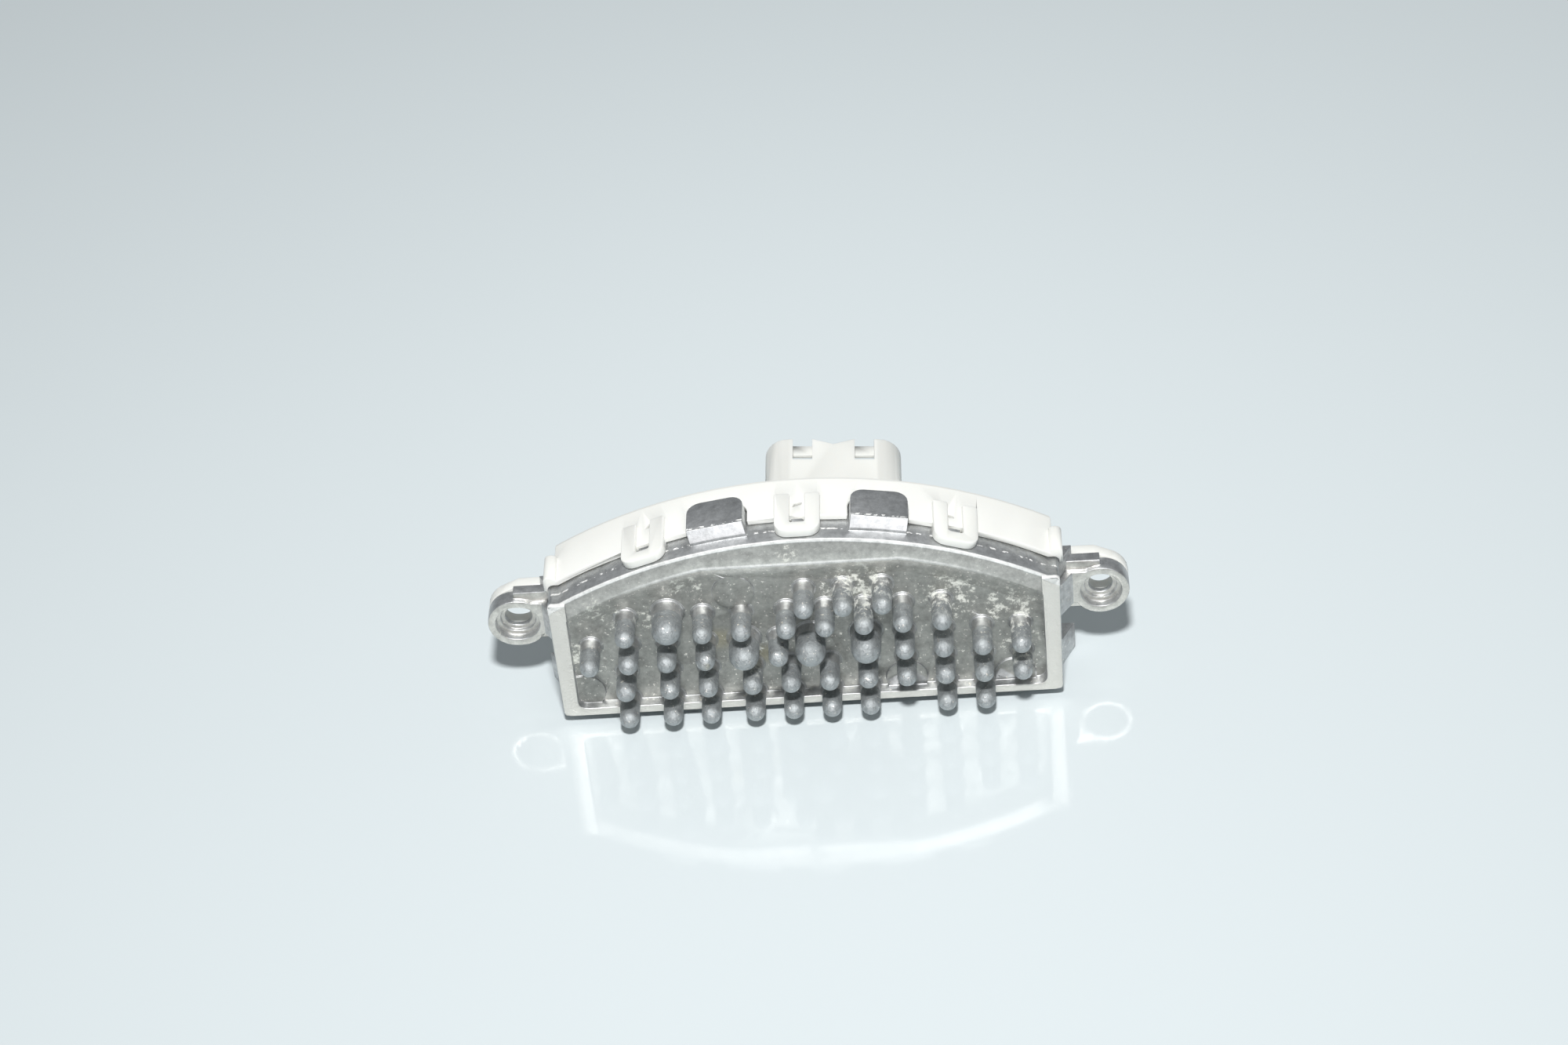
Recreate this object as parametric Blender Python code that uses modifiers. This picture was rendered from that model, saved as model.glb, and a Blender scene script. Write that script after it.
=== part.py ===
# Blower motor resistor of a car heater: a die-cast heat sink whose round pins stand in the air
# duct, and a clipped moulded cover behind it that closes in the electronics and ends in a socket.
# X runs along the width, Y from the duct side to the socket, Z up. Built in metres.
import bpy
import bmesh
from math import acos, asin, cos, pi, radians, sin, sqrt, tan
from mathutils import Matrix, Vector

mm = 0.001

# Clearance between pieces that touch in the real product
seat_gap = 0.3 * mm

# How far a cutter runs past a face, and how far a joined solid is sunk in its neighbour
overshoot = 1.0 * mm

# Tolerances of the mesh work
weld_distance = 0.002 * mm
flat_angle = radians(0.5)
smooth_angle = radians(32)

# Distance between the screw holes, which sets every width
ear_spacing = 105.0 * mm

# Arc shared by the casting, the cover, the clips, the tabs and the socket
arc_radius = 86.1 * mm
arc_top_z = 37.4 * mm
arc_steps = 26
bay_arc_steps = 12
pocket_arc_steps = 8

# Casting: tray that faces the duct
ear_reach = 7.4 * mm
frame_draft = 0.3 * mm
frame_corner = 1.0 * mm
side_rim_width = 3.1 * mm
bottom_rim_height = 1.6 * mm
shoulder_rise = 1.25 * mm
shoulder_corner = 0.8 * mm
rim_relief = 0.6 * mm
rim_step = 0.1 * mm
pocket_depth = 2.1 * mm
pocket_corner = 1.6 * mm
ridge_inset = 3.7 * mm
floor_inset = 7.9 * mm
crown_flat = 1.85 * mm
floor_thickness = 3.0 * mm
sink_wall = 2.4 * mm

# Casting: foot, side blocks and the two ears
foot_depth = 3.8 * mm
foot_drop = 1.9 * mm
foot_height = 3.2 * mm
block_reach = 2.5 * mm
block_front_y = 8.8 * mm
upper_block_low_z = 18.1 * mm
upper_block_high_z = 21.9 * mm
lower_block_high_z = 3.8 * mm
ear_z = 13.65 * mm
ear_radius = 5.1 * mm
ear_thickness = 3.2 * mm
web_thickness = 2.2 * mm
web_low_z = 9.4 * mm
web_high_z = 19.9 * mm
gusset_low_z = 11.0 * mm
gusset_high_z = 18.0 * mm
gusset_front_y = 7.0 * mm
gusset_reach = 2.4 * mm
counterbore_radius = 3.7 * mm
counterbore_depth = 1.5 * mm
step_radius = 2.9 * mm
step_depth = 0.7 * mm
ear_hole_radius = 2.15 * mm
slot_travel = 0.6 * mm

# Casting: pins, ejector pads, tabs and clip lugs
pin_radius = 1.72 * mm
pin_length = 7.5 * mm
large_pin_radius = 2.65 * mm
pin_draft = 0.1 * mm
pin_sides = 12
dome_rings = 3
pin_root_depth = 0.6 * mm
pin_row_pitch = 6.25 * mm
pin_first_row_z = 1.95 * mm
upper_row_z = 25.1 * mm
pin_column_pitch = 6.85 * mm
left_columns_x = -11.2 * mm
centre_columns_x = -3.3 * mm
low_column_shift = 1.0 * mm
narrow_gap_shift = 1.8 * mm
large_pin_shift = 0.6 * mm
upper_pins_x = 0.1 * mm
upper_pin_pitch = 6.9 * mm
pad_radius = 3.75 * mm
pad_height = 0.5 * mm
tab_angle = radians(9.3)
tab_width = 10.1 * mm
tab_height = 3.3 * mm
tab_front_y = 2.9 * mm
tab_length = 7.4 * mm
tab_corner = 2.4 * mm
tab_root_depth = 1.2 * mm
lug_width = 2.1 * mm
lug_height = 1.0 * mm
lug_front_share = 0.55
lug_root_depth = 0.8 * mm

# Casting, inside: bosses for the board and the clamp
boss_radius = 2.8 * mm
boss_bore_depth = 5.0 * mm
boss_sides = 24
thread_radius = 1.25 * mm
bore_sides = 16

# Cover
skirt_thickness = 1.0 * mm
skirt_front_y = 5.5 * mm
cover_wall = 1.6 * mm
cap_depth = 2.9 * mm
cap_edge = 1.2 * mm
cap_side_inset = 0.9 * mm
cap_inner_step = 0.6 * mm
bead_length = 6.4 * mm
bead_width = 2.3 * mm
bead_height = 3.0 * mm
bead_rise = 0.7 * mm
bead_corner = 0.9 * mm
cover_ear_thickness = 2.2 * mm
cover_ear_rise = 0.9 * mm
cover_ear_flat = 0.9 * mm
cover_ear_sweep = radians(160)
cover_ear_hole_radius = 2.4 * mm
ear_plate_root = 1.3 * mm
bay_side_inset = 10.2 * mm
bay_bottom_z = 3.0 * mm
bay_arc_inset = 6.6 * mm
bay_depth = 8.6 * mm
bay_corner = 3.0 * mm

# Snap clips of the cover
clip_pitch_angle = radians(18.25)
clip_width = 8.0 * mm
clip_arm_width = 2.65 * mm
clip_raise = 0.6 * mm
clip_front_y = 0.9 * mm
clip_bar_length = 2.4 * mm
clip_back_y = 11.2 * mm
clip_corner = 2.3 * mm
clip_soft_corner = 0.4 * mm

# Socket for the harness plug, turned with the arc
socket_angle = radians(4.3)
socket_drop = 6.1 * mm
socket_width = 24.6 * mm
socket_height = 15.0 * mm
socket_corner = 4.2 * mm
socket_wall = 1.5 * mm
socket_length = 11.1 * mm
socket_notch_spacing = 11.2 * mm
socket_notch_width = 3.5 * mm
socket_notch_length = 5.8 * mm
bridge_length = 2.8 * mm
bridge_thickness = 0.8 * mm
bridge_margin = 0.7 * mm
bridge_step = 0.1 * mm
socket_dip_width = 7.4 * mm
socket_dip_depth = 1.4 * mm
latch_width = 6.0 * mm
latch_height = 1.5 * mm
latch_length = 3.2 * mm
latch_end_height = 0.2 * mm
latch_setback = 2.0 * mm

# Terminals and their carrier
power_blade_width = 4.8 * mm
signal_blade_width = 1.5 * mm
signal_blade_offset = 1.7 * mm
blade_thickness = 0.8 * mm
blade_reach = 5.6 * mm
blade_chamfer = 0.25 * mm
carrier_width = 18.4 * mm
carrier_height = 4.6 * mm
carrier_length = 5.4 * mm
carrier_corner = 0.6 * mm

# Circuit board and the parts on it
board_thickness = 1.6 * mm
board_room = 0.8 * mm
board_margin = 0.8 * mm
board_hole_radius = 1.8 * mm
board_screw_inset = 5.5 * mm
board_screw_z = 10.0 * mm
top_screw_drop = 7.9 * mm
screw_shank_radius = 1.12 * mm
screw_sides = 20
screw_head_radius = 2.6 * mm
screw_head_height = 1.0 * mm
screw_length = 5.5 * mm
transistor_side_inset = 23.5 * mm
transistor_z = 15.4 * mm
transistor_width = 14.6 * mm
transistor_body_height = 14.0 * mm
transistor_tab_height = 18.4 * mm
transistor_tab_thickness = 1.4 * mm
transistor_thickness = 4.3 * mm
transistor_chamfer = 0.4 * mm
transistor_tab_inset = 0.6 * mm
transistor_hole_drop = 2.2 * mm
transistor_hole_radius = 1.4 * mm
lead_width = 1.2 * mm
lead_thickness = 0.7 * mm
lead_pitch = 5.08 * mm
lead_drop = 2.2 * mm
pad_sheet_thickness = 0.3 * mm
pad_sheet_margin = 0.5 * mm
clamp_thickness = 0.6 * mm
clamp_width = 8.0 * mm
clamp_overlap = 5.0 * mm
clamp_corner = 1.5 * mm
capacitor_radius = 4.0 * mm
capacitor_length = 12.5 * mm
capacitor_side_inset = 18.5 * mm
capacitor_z = 18.4 * mm
bung_length = 1.6 * mm
bung_setback = 0.2 * mm
can_edge = 0.45 * mm
choke_radius = 6.0 * mm
choke_height = 8.4 * mm
choke_flange = 1.3 * mm
choke_neck_radius = 2.6 * mm
wire_setback = 0.4 * mm
wire_radius = 0.4 * mm
wire_turns = 5
choke_side_inset = 31.5 * mm
choke_z = 11.2 * mm
shunt_length = 12.0 * mm
shunt_width = 4.0 * mm
shunt_thickness = 0.8 * mm
shunt_rise = 1.6 * mm
shunt_foot = 2.4 * mm
shunt_side_inset = 34.5 * mm
shunt_z = 10.5 * mm
chip_edge_share = 0.12

# Places that follow from the sizes above
frame_half_top = ear_spacing / 2 - ear_reach
frame_half_bottom = frame_half_top - frame_draft
arc_centre_z = arc_top_z - arc_radius
rim_top_z = arc_centre_z + sqrt(arc_radius**2 - frame_half_top**2) + shoulder_rise
sink_floor_back_y = pocket_depth + floor_thickness
transistor_front_y = sink_floor_back_y + pad_sheet_thickness + 2 * seat_gap
transistor_back_y = transistor_front_y + transistor_thickness
clamp_front_y = transistor_back_y + seat_gap
clamp_back_y = clamp_front_y + clamp_thickness
board_front_y = clamp_back_y + board_room
board_back_y = board_front_y + board_thickness
sink_depth = board_back_y
foot_front_y = sink_depth - foot_depth
ear_front_y = sink_depth - ear_thickness
pin_tip_y = pocket_depth - pin_length
cover_front_y = sink_depth + seat_gap
cap_back_y = cover_front_y + cap_depth
bay_back_y = cap_back_y + bay_depth
socket_floor_y = bay_back_y
socket_mouth_y = socket_floor_y + socket_length
skirt_inner_radius = arc_radius + seat_gap
skirt_outer_radius = skirt_inner_radius + skirt_thickness
cap_half_width = frame_half_top - cap_side_inset
bay_half_width = cap_half_width - bay_side_inset
bay_radius = arc_radius - bay_arc_inset
socket_top_radius = arc_radius - socket_drop
socket_mid_radius = socket_top_radius - socket_height / 2
parts_seat_y = board_back_y + seat_gap
centre_y = (pin_tip_y + socket_mouth_y) / 2
board_half_width = frame_half_bottom - rim_step - sink_wall - board_margin
board_screw_x = board_half_width - board_screw_inset
top_screw_z = arc_top_z - top_screw_drop
screw_places = ((-board_screw_x, board_screw_z), (board_screw_x, board_screw_z), (0.0, top_screw_z))
clamp_place = (0.0, transistor_z)
transistor_x = board_half_width - transistor_side_inset
capacitor_x = capacitor_side_inset - board_half_width
choke_x = choke_side_inset - board_half_width
shunt_x = board_half_width - shunt_side_inset

# Columns of pins: x of the column and its rows, counted up from the bottom
pin_columns = (
    (left_columns_x - 4 * pin_column_pitch, (2,)),
    (left_columns_x - 3 * pin_column_pitch, (2, 3)),
    (left_columns_x - 3 * pin_column_pitch - low_column_shift, (0, 1)),
    (left_columns_x - 2 * pin_column_pitch, (0, 1, 2)),
    (left_columns_x - pin_column_pitch, (0, 1, 2, 3)),
    (left_columns_x, (3,)),
    (centre_columns_x - pin_column_pitch, (0, 1)),
    (centre_columns_x, (0, 1, 3)),
    (centre_columns_x - narrow_gap_shift, (2,)),
    (centre_columns_x + pin_column_pitch, (0, 1, 3)),
    (centre_columns_x + 2 * pin_column_pitch, (0, 1, 3)),
    (centre_columns_x + 3 * pin_column_pitch, (1, 2, 3)),
    (centre_columns_x + 4 * pin_column_pitch, (0, 1, 2, 3)),
    (centre_columns_x + 5 * pin_column_pitch, (0, 1, 2)),
    (centre_columns_x + 6 * pin_column_pitch, (1, 2)),
)
large_pins = (
    (left_columns_x - 2 * pin_column_pitch + large_pin_shift, 3.1),
    (left_columns_x, 2),
    (large_pin_shift, 2),
    (centre_columns_x + 2 * pin_column_pitch, 2),
)
# Openings that the mould's cores leave behind the clips: turn of the clip, and corners (x, y) of
# the opening, with x from the clip's middle
core_openings = (
    (-1, ((0.2 * mm, 9.7 * mm), (1.25 * mm, 9.7 * mm), (1.25 * mm, 11.1 * mm))),
    (0, ((-0.8 * mm, 8.1 * mm), (0.75 * mm, 8.7 * mm), (0.85 * mm, 9.4 * mm), (-0.5 * mm, 9.1 * mm))),
    (1, ((-1.25 * mm, 7.7 * mm), (-0.1 * mm, 7.7 * mm), (-0.2 * mm, 8.3 * mm), (-1.25 * mm, 8.4 * mm))),
)
ejector_pads = (
    (-40.7 * mm, 4.1 * mm),
    (-12.3 * mm, 25.3 * mm),
    (17.1 * mm, 3.4 * mm),
    (36.4 * mm, 2.6 * mm),
)


def clear_scene():
    """Start from an empty scene with one collection for the part."""
    for item in list(bpy.data.objects):
        bpy.data.objects.remove(item, do_unlink=True)
    collection = bpy.data.collections.new("blower_motor_resistor")
    bpy.context.scene.collection.children.link(collection)
    origin = bpy.data.objects.new("part_origin", None)
    origin.location = (0, -centre_y, foot_drop)
    collection.objects.link(origin)
    return collection, origin


collection, origin = clear_scene()


def make_material(name, colour, metallic, roughness):
    """Principled material with one colour."""
    material = bpy.data.materials.new(name)
    material.use_nodes = True
    shader = material.node_tree.nodes["Principled BSDF"]
    shader.inputs["Base Color"].default_value = (*colour, 1)
    shader.inputs["Metallic"].default_value = metallic
    shader.inputs["Roughness"].default_value = roughness
    return material


def new_object(name, mesh):
    """Object in the part's collection."""
    item = bpy.data.objects.new(name, mesh)
    collection.objects.link(item)
    return item


def object_from_bmesh(name, shape):
    """Object from a bmesh, which is freed."""
    mesh = bpy.data.meshes.new(name)
    shape.to_mesh(mesh)
    shape.free()
    return new_object(name, mesh)


def evaluated_mesh(item):
    """Mesh of an object with its modifiers applied."""
    bpy.context.view_layer.update()
    depsgraph = bpy.context.evaluated_depsgraph_get()
    return bpy.data.meshes.new_from_object(item.evaluated_get(depsgraph))


def baked(item):
    """Turn a curve or a modified object into a plain welded mesh that sits at the origin."""
    mesh = evaluated_mesh(item)
    mesh.transform(item.matrix_world)
    shape = bmesh.new()
    shape.from_mesh(mesh)
    bmesh.ops.remove_doubles(shape, verts=shape.verts, dist=weld_distance)
    bmesh.ops.recalc_face_normals(shape, faces=shape.faces)
    name = item.name
    bpy.data.meshes.remove(mesh)
    bpy.data.objects.remove(item, do_unlink=True)
    return object_from_bmesh(name, shape)


def combine(body, tool, operation):
    """Boolean of two mesh objects, applied, after which the tool is removed."""
    modifier = body.modifiers.new("combine", "BOOLEAN")
    modifier.operation = operation
    modifier.solver = "EXACT"
    modifier.object = tool
    result = evaluated_mesh(body)
    body.modifiers.remove(modifier)
    body.data = result
    bpy.data.objects.remove(tool, do_unlink=True)


def join(body, *tools):
    """Union of a body with each tool."""
    for tool in tools:
        combine(body, tool, "UNION")


def cut(body, *tools):
    """Body less each tool."""
    for tool in tools:
        combine(body, tool, "DIFFERENCE")


def snap_planes(item, front_y, back_y):
    """Set every point exactly on one of two planes across Y, so that faces which meet are flush."""
    middle = (front_y + back_y) / 2
    for vert in item.data.vertices:
        vert.co.y = front_y if vert.co.y < middle else back_y
    return item


def prism(name, outline, front_y, back_y):
    """Solid between two planes across Y, from an outline of (x, z) points."""
    curve = bpy.data.curves.new(name, "CURVE")
    curve.dimensions = "2D"
    curve.fill_mode = "BOTH"
    curve.extrude = (back_y - front_y) / 2
    spline = curve.splines.new("POLY")
    spline.points.add(len(outline) - 1)
    for point, (x, z) in zip(spline.points, outline):
        point.co = (x, z, 0, 1)
    spline.use_cyclic_u = True
    item = new_object(name, curve)
    item.rotation_euler = (pi / 2, 0, 0)
    item.location = (0, (front_y + back_y) / 2, 0)
    return snap_planes(baked(item), front_y, back_y)


def slab(name, outline, low, high):
    """Solid between two heights, from an outline of (x, y) points."""
    item = prism(name, outline, 0, high - low)
    lie_down = Matrix(((1, 0, 0, 0), (0, 0, 1, 0), (0, -1, 0, high), (0, 0, 0, 1)))
    item.data.transform(lie_down)
    return item


def box(name, low, high):
    """Box from its lowest and highest corners."""
    shape = bmesh.new()
    bmesh.ops.create_cube(shape, size=1)
    size = [b - a for a, b in zip(low, high)]
    middle = [(a + b) / 2 for a, b in zip(low, high)]
    bmesh.ops.scale(shape, vec=size, verts=shape.verts)
    bmesh.ops.translate(shape, vec=middle, verts=shape.verts)
    return snap_planes(object_from_bmesh(name, shape), low[1], high[1])


def cylinder(name, radius, centre, front_y, back_y, sides=32):
    """Cylinder along Y at a centre (x, z)."""
    shape = bmesh.new()
    bmesh.ops.create_cone(
        shape, cap_ends=True, segments=sides, radius1=radius, radius2=radius, depth=back_y - front_y
    )
    bmesh.ops.rotate(shape, matrix=Matrix.Rotation(pi / 2, 3, "X"), verts=shape.verts)
    bmesh.ops.translate(shape, vec=(centre[0], (front_y + back_y) / 2, centre[1]), verts=shape.verts)
    return snap_planes(object_from_bmesh(name, shape), front_y, back_y)


def turned(name, profile, sides):
    """Solid of revolution about Z, from (radius, z) points that run from top to bottom."""
    shape = bmesh.new()
    rim = [shape.verts.new((radius, 0, z)) for radius, z in profile]
    for above, below in zip(rim, rim[1:]):
        shape.edges.new((above, below))
    item = object_from_bmesh(name, shape)
    screw = item.modifiers.new("turn", "SCREW")
    screw.steps = sides
    screw.render_steps = sides
    screw.use_merge_vertices = True
    screw.merge_threshold = weld_distance
    return baked(item)


def corner_arc(before, corner, after, radius, steps):
    """Points of a rounded corner between two edges."""
    here = Vector(corner)
    to_before = (Vector(before) - here).normalized()
    to_after = (Vector(after) - here).normalized()
    half = to_before.angle(to_after) / 2
    reach = radius / tan(half)
    centre = here + (to_before + to_after).normalized() * (radius / sin(half))
    start = here + to_before * reach - centre
    end = here + to_after * reach - centre
    sweep = start.angle_signed(end)
    points = []
    for step in range(steps + 1):
        turn = Matrix.Rotation(-sweep * step / steps, 2)
        points.append(tuple(centre + turn @ start))
    return points


def rounded(outline, radii, steps=4):
    """Outline with its corners rounded, where a radius of 0 keeps a corner sharp."""
    points = []
    count = len(outline)
    for index, (corner, radius) in enumerate(zip(outline, radii)):
        if radius > 0:
            before = outline[index - 1]
            after = outline[(index + 1) % count]
            points.extend(corner_arc(before, corner, after, radius, steps))
        else:
            points.append(corner)
    return points


def rectangle(half_width, bottom, top, radius, steps=4):
    """Rounded rectangle about x = 0."""
    corners = ((-half_width, bottom), (half_width, bottom), (half_width, top), (-half_width, top))
    return rounded(corners, (radius,) * 4, steps)


def on_arc(radius, angle):
    """Point (x, z) at an angle from the top of the arc."""
    return radius * sin(angle), arc_centre_z + radius * cos(angle)


def arc_points(radius, start, end, steps):
    """Points along the arc from one angle to another."""
    return [on_arc(radius, start + (end - start) * step / steps) for step in range(steps + 1)]


def arc_angle(radius, x):
    """Angle at which an arc of this radius reaches x."""
    return asin(x / radius)


def turn_with_arc(item, angle):
    """Move a piece drawn at the top of the arc, with z as its radius, to an angle on the arc."""
    place = Matrix.Translation((0, 0, arc_centre_z)) @ Matrix.Rotation(angle, 4, "Y")
    item.data.transform(place)
    return item


def shoulders(clearance, half_width):
    """Arc with a flat shoulder at each end, from right to left, grown by a clearance."""
    radius = arc_radius + clearance
    top = rim_top_z - rim_step + clearance
    end = acos((top - arc_centre_z) / radius)
    return [(half_width, top), *arc_points(radius, end, -end, arc_steps), (-half_width, top)]


def body_outline(clearance):
    """Outside of the casting's tray, grown by a clearance."""
    half_bottom = frame_half_bottom - rim_step + clearance
    arch = shoulders(clearance, frame_half_top - rim_step + clearance)
    feet = [(-half_bottom, rim_step - clearance), (half_bottom, rim_step - clearance)]
    foot_corner = frame_corner + clearance
    top_corner = shoulder_corner + clearance
    radii = (foot_corner, foot_corner, top_corner, *(0,) * (len(arch) - 2), top_corner)
    return rounded(feet + arch, radii)


def hollow_outline(inset):
    """Inside of the tray, drawn in from its outside by an inset."""
    radius = arc_radius - inset
    half_bottom = frame_half_bottom - rim_step - inset
    end = arc_angle(radius, frame_half_top - rim_step - inset)
    corner = frame_corner
    arc = arc_points(radius, end, -end, arc_steps)
    feet = [(-half_bottom, rim_step + inset), (half_bottom, rim_step + inset)]
    return rounded(feet + arc, (corner, corner) + (0,) * len(arc))


def cap_arch():
    """Top of the cap and of the skirt, from right to left."""
    end = arc_angle(skirt_outer_radius, cap_half_width)
    return arc_points(skirt_outer_radius, end, -end, arc_steps)


def cap_outline():
    """Outside of the cover's cap: straight foot and sides under the arc."""
    arch = cap_arch()
    feet = [(-cap_half_width, -foot_drop), (cap_half_width, -foot_drop)]
    return rounded(feet + arch, (frame_corner, frame_corner) + (0,) * len(arch))


def bay_outline(inset):
    """Bay behind the cap: straight foot and sides, and a top that follows the arc."""
    half = bay_half_width - inset
    low = bay_bottom_z + inset
    radius = bay_radius - inset
    end = arc_angle(radius, half)
    arc = arc_points(radius, end, -end, bay_arc_steps)
    corner = bay_corner - inset / 2
    count = len(arc)
    return rounded([(-half, low), (half, low)] + arc, (corner, corner, *(0,) * count))


def pocket_outline(inset):
    """Outline of the pocket: concentric arcs at the sides and a flat stretch in the middle."""
    radius = arc_radius - inset
    half = frame_half_top - side_rim_width
    flat_end = acos((radius - crown_flat) / radius)
    side_end = arc_angle(radius, half)
    right = arc_points(radius, side_end, flat_end, pocket_arc_steps)
    left = [(-x, z) for x, z in reversed(right)]
    feet = [(-half, bottom_rim_height), (half, bottom_rim_height)]
    outline = feet + right + left
    return rounded(outline, (pocket_corner, pocket_corner) + (0,) * (len(outline) - 2))


def pocket_cutter():
    """Cutter for the pocket: straight in front of the ridge, then sloping in to the floor."""
    mouth = pocket_outline(ridge_inset)
    floor = pocket_outline(floor_inset)
    shape = bmesh.new()
    loops = []
    for outline, y in ((mouth, -overshoot), (mouth, rim_relief), (floor, pocket_depth)):
        verts = [shape.verts.new((x, y, z)) for x, z in outline]
        count = len(verts)
        loops.append([shape.edges.new((verts[i], verts[(i + 1) % count])) for i in range(count)])
    for ahead, behind in zip(loops, loops[1:]):
        bmesh.ops.bridge_loops(shape, edges=ahead + behind)
    bmesh.ops.holes_fill(shape, edges=loops[0])
    bmesh.ops.holes_fill(shape, edges=loops[-1])
    bmesh.ops.recalc_face_normals(shape, faces=shape.faces)
    return object_from_bmesh("pocket", shape)


def rim_outline():
    """Outline of the raised rim: straight foot, sides and corner tops."""
    corners = (
        (-frame_half_bottom, 0),
        (frame_half_bottom, 0),
        (frame_half_top, rim_top_z),
        (-frame_half_top, rim_top_z),
    )
    return rounded(corners, (frame_corner, frame_corner, shoulder_corner, shoulder_corner))


def rim_relief_cutter():
    """Cutter that sets the band under the arc back from the side rims."""
    half = frame_half_top - side_rim_width - rim_step
    low = (-half, -overshoot, bottom_rim_height + pocket_corner + overshoot)
    return box("relief", low, (half, rim_relief, rim_top_z + overshoot))


def pin_mesh(radius):
    """Tapered pin with a domed tip, with its root sunk into the floor."""
    root_radius = radius + pin_draft
    top = pin_length
    profile = []
    for ring in range(dome_rings + 1):
        angle = pi / 2 * ring / dome_rings
        profile.append((radius * sin(angle), top - radius + radius * cos(angle)))
    profile.append((root_radius, -pin_root_depth))
    profile.append((0, -pin_root_depth))
    return turned("pin", profile, pin_sides)


def ejector_pad(place):
    """Raised round pad on the pocket's floor, cut off inside the rim along the foot."""
    x = place[0]
    front_y = pocket_depth - pad_height
    back_y = pocket_depth + overshoot
    pad = cylinder("pad", pad_radius, place, front_y, back_y)
    low = (x - 2 * pad_radius, front_y - overshoot, -pad_radius)
    high = (x + 2 * pad_radius, back_y + overshoot, bottom_rim_height / 2)
    cut(pad, box("trim", low, high))
    return pad


def all_pins():
    """Every pin of the heat sink in one mesh of separate solids."""
    shape = bmesh.new()
    upright = Matrix.Rotation(pi / 2, 4, "X")
    small = pin_mesh(pin_radius)
    large = pin_mesh(large_pin_radius)
    places = []
    for x, rows in pin_columns:
        places += [(small, x, pin_first_row_z + row * pin_row_pitch) for row in rows]
    for x, row in large_pins:
        places.append((large, x, pin_first_row_z + row * pin_row_pitch))
    for index in range(3):
        places.append((small, upper_pins_x + index * upper_pin_pitch, upper_row_z))
    for pin, x, z in places:
        one = pin.data.copy()
        one.transform(Matrix.Translation((x, pocket_depth, z)) @ upright)
        shape.from_mesh(one)
        bpy.data.meshes.remove(one)
    bpy.data.objects.remove(small, do_unlink=True)
    bpy.data.objects.remove(large, do_unlink=True)
    return object_from_bmesh("pins", shape)


def arc_tab(angle):
    """Stop tab that stands on the arc and fills a cut-out of the cover."""
    back_y = tab_front_y + tab_length
    foot = arc_radius - tab_root_depth
    block = box(
        "tab",
        (-tab_width / 2, tab_front_y, foot),
        (tab_width / 2, back_y, arc_radius + tab_height),
    )
    shape = bmesh.new()
    shape.from_mesh(block.data)
    upright = [
        edge
        for edge in shape.edges
        if all(vert.co.y > back_y - overshoot for vert in edge.verts)
        and abs(edge.verts[0].co.x - edge.verts[1].co.x) < overshoot
    ]
    bmesh.ops.bevel(
        shape, geom=upright, offset=tab_corner, segments=5, profile=0.5, affect="EDGES"
    )
    shape.to_mesh(block.data)
    shape.free()
    return turn_with_arc(block, angle)


def clip_lug(angle):
    """Wedge on the arc that a clip snaps over: a ramp in front and a square back."""
    start = clip_front_y + clip_bar_length + seat_gap
    end = skirt_front_y - seat_gap
    root = arc_radius - lug_root_depth
    half = lug_width / 2
    lug = box("lug", (-half, start, root), (half, end, arc_radius + lug_height))
    for vert in lug.data.vertices:
        if vert.co.y < (start + end) / 2 and vert.co.z > arc_radius:
            vert.co.z = arc_radius + lug_height * lug_front_share
    return turn_with_arc(lug, angle)


def ear_sides():
    """Side of each ear with the travel of its hole: the left one is a slot."""
    return ((-1, slot_travel), (1, 0.0))


def obround(centre, travel, radius, steps=14):
    """Outline of a slot that reaches inward from its centre by a travel."""
    x, z = centre
    inner = x - travel if x > 0 else x + travel
    low, high = sorted((x, inner))
    points = []
    for middle, start in ((high, -pi / 2), (low, pi / 2)):
        for step in range(steps + 1):
            angle = start + pi * step / steps
            points.append((middle + radius * cos(angle), z + radius * sin(angle)))
    return points if travel > 0 else points[: steps + 1] + points[steps + 2 : -1]


def side_slab(side, outline, low, high):
    """Slab on one side of the casting, from its (x, y) outline on the right."""
    return slab("side", [(side * x, y) for x, y in outline], low, high)


def block_outline(front_y, reach, end_y):
    """Triangle from the casting's side to an outer corner at its back, run past the back."""
    slope = (sink_depth - front_y) / reach
    inner_x = frame_half_top - overshoot
    outer_x = frame_half_top + reach + (end_y - sink_depth) / slope
    return ((inner_x, front_y - overshoot * slope), (outer_x, end_y), (inner_x, end_y))


def gusset_outline(end_y):
    """Wedge between the casting's side and the front of the ear."""
    slope = (ear_front_y - gusset_front_y) / gusset_reach
    inner_x = frame_half_top - overshoot
    ear_x = ear_spacing / 2
    return (
        (inner_x, gusset_front_y - overshoot * slope),
        (frame_half_top + gusset_reach, ear_front_y),
        (ear_x, ear_front_y),
        (ear_x, end_y),
        (inner_x, end_y),
    )


def past_back(steps):
    """Plane behind the casting's back, a step further for each solid that ends there."""
    return sink_depth + steps * overshoot


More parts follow.
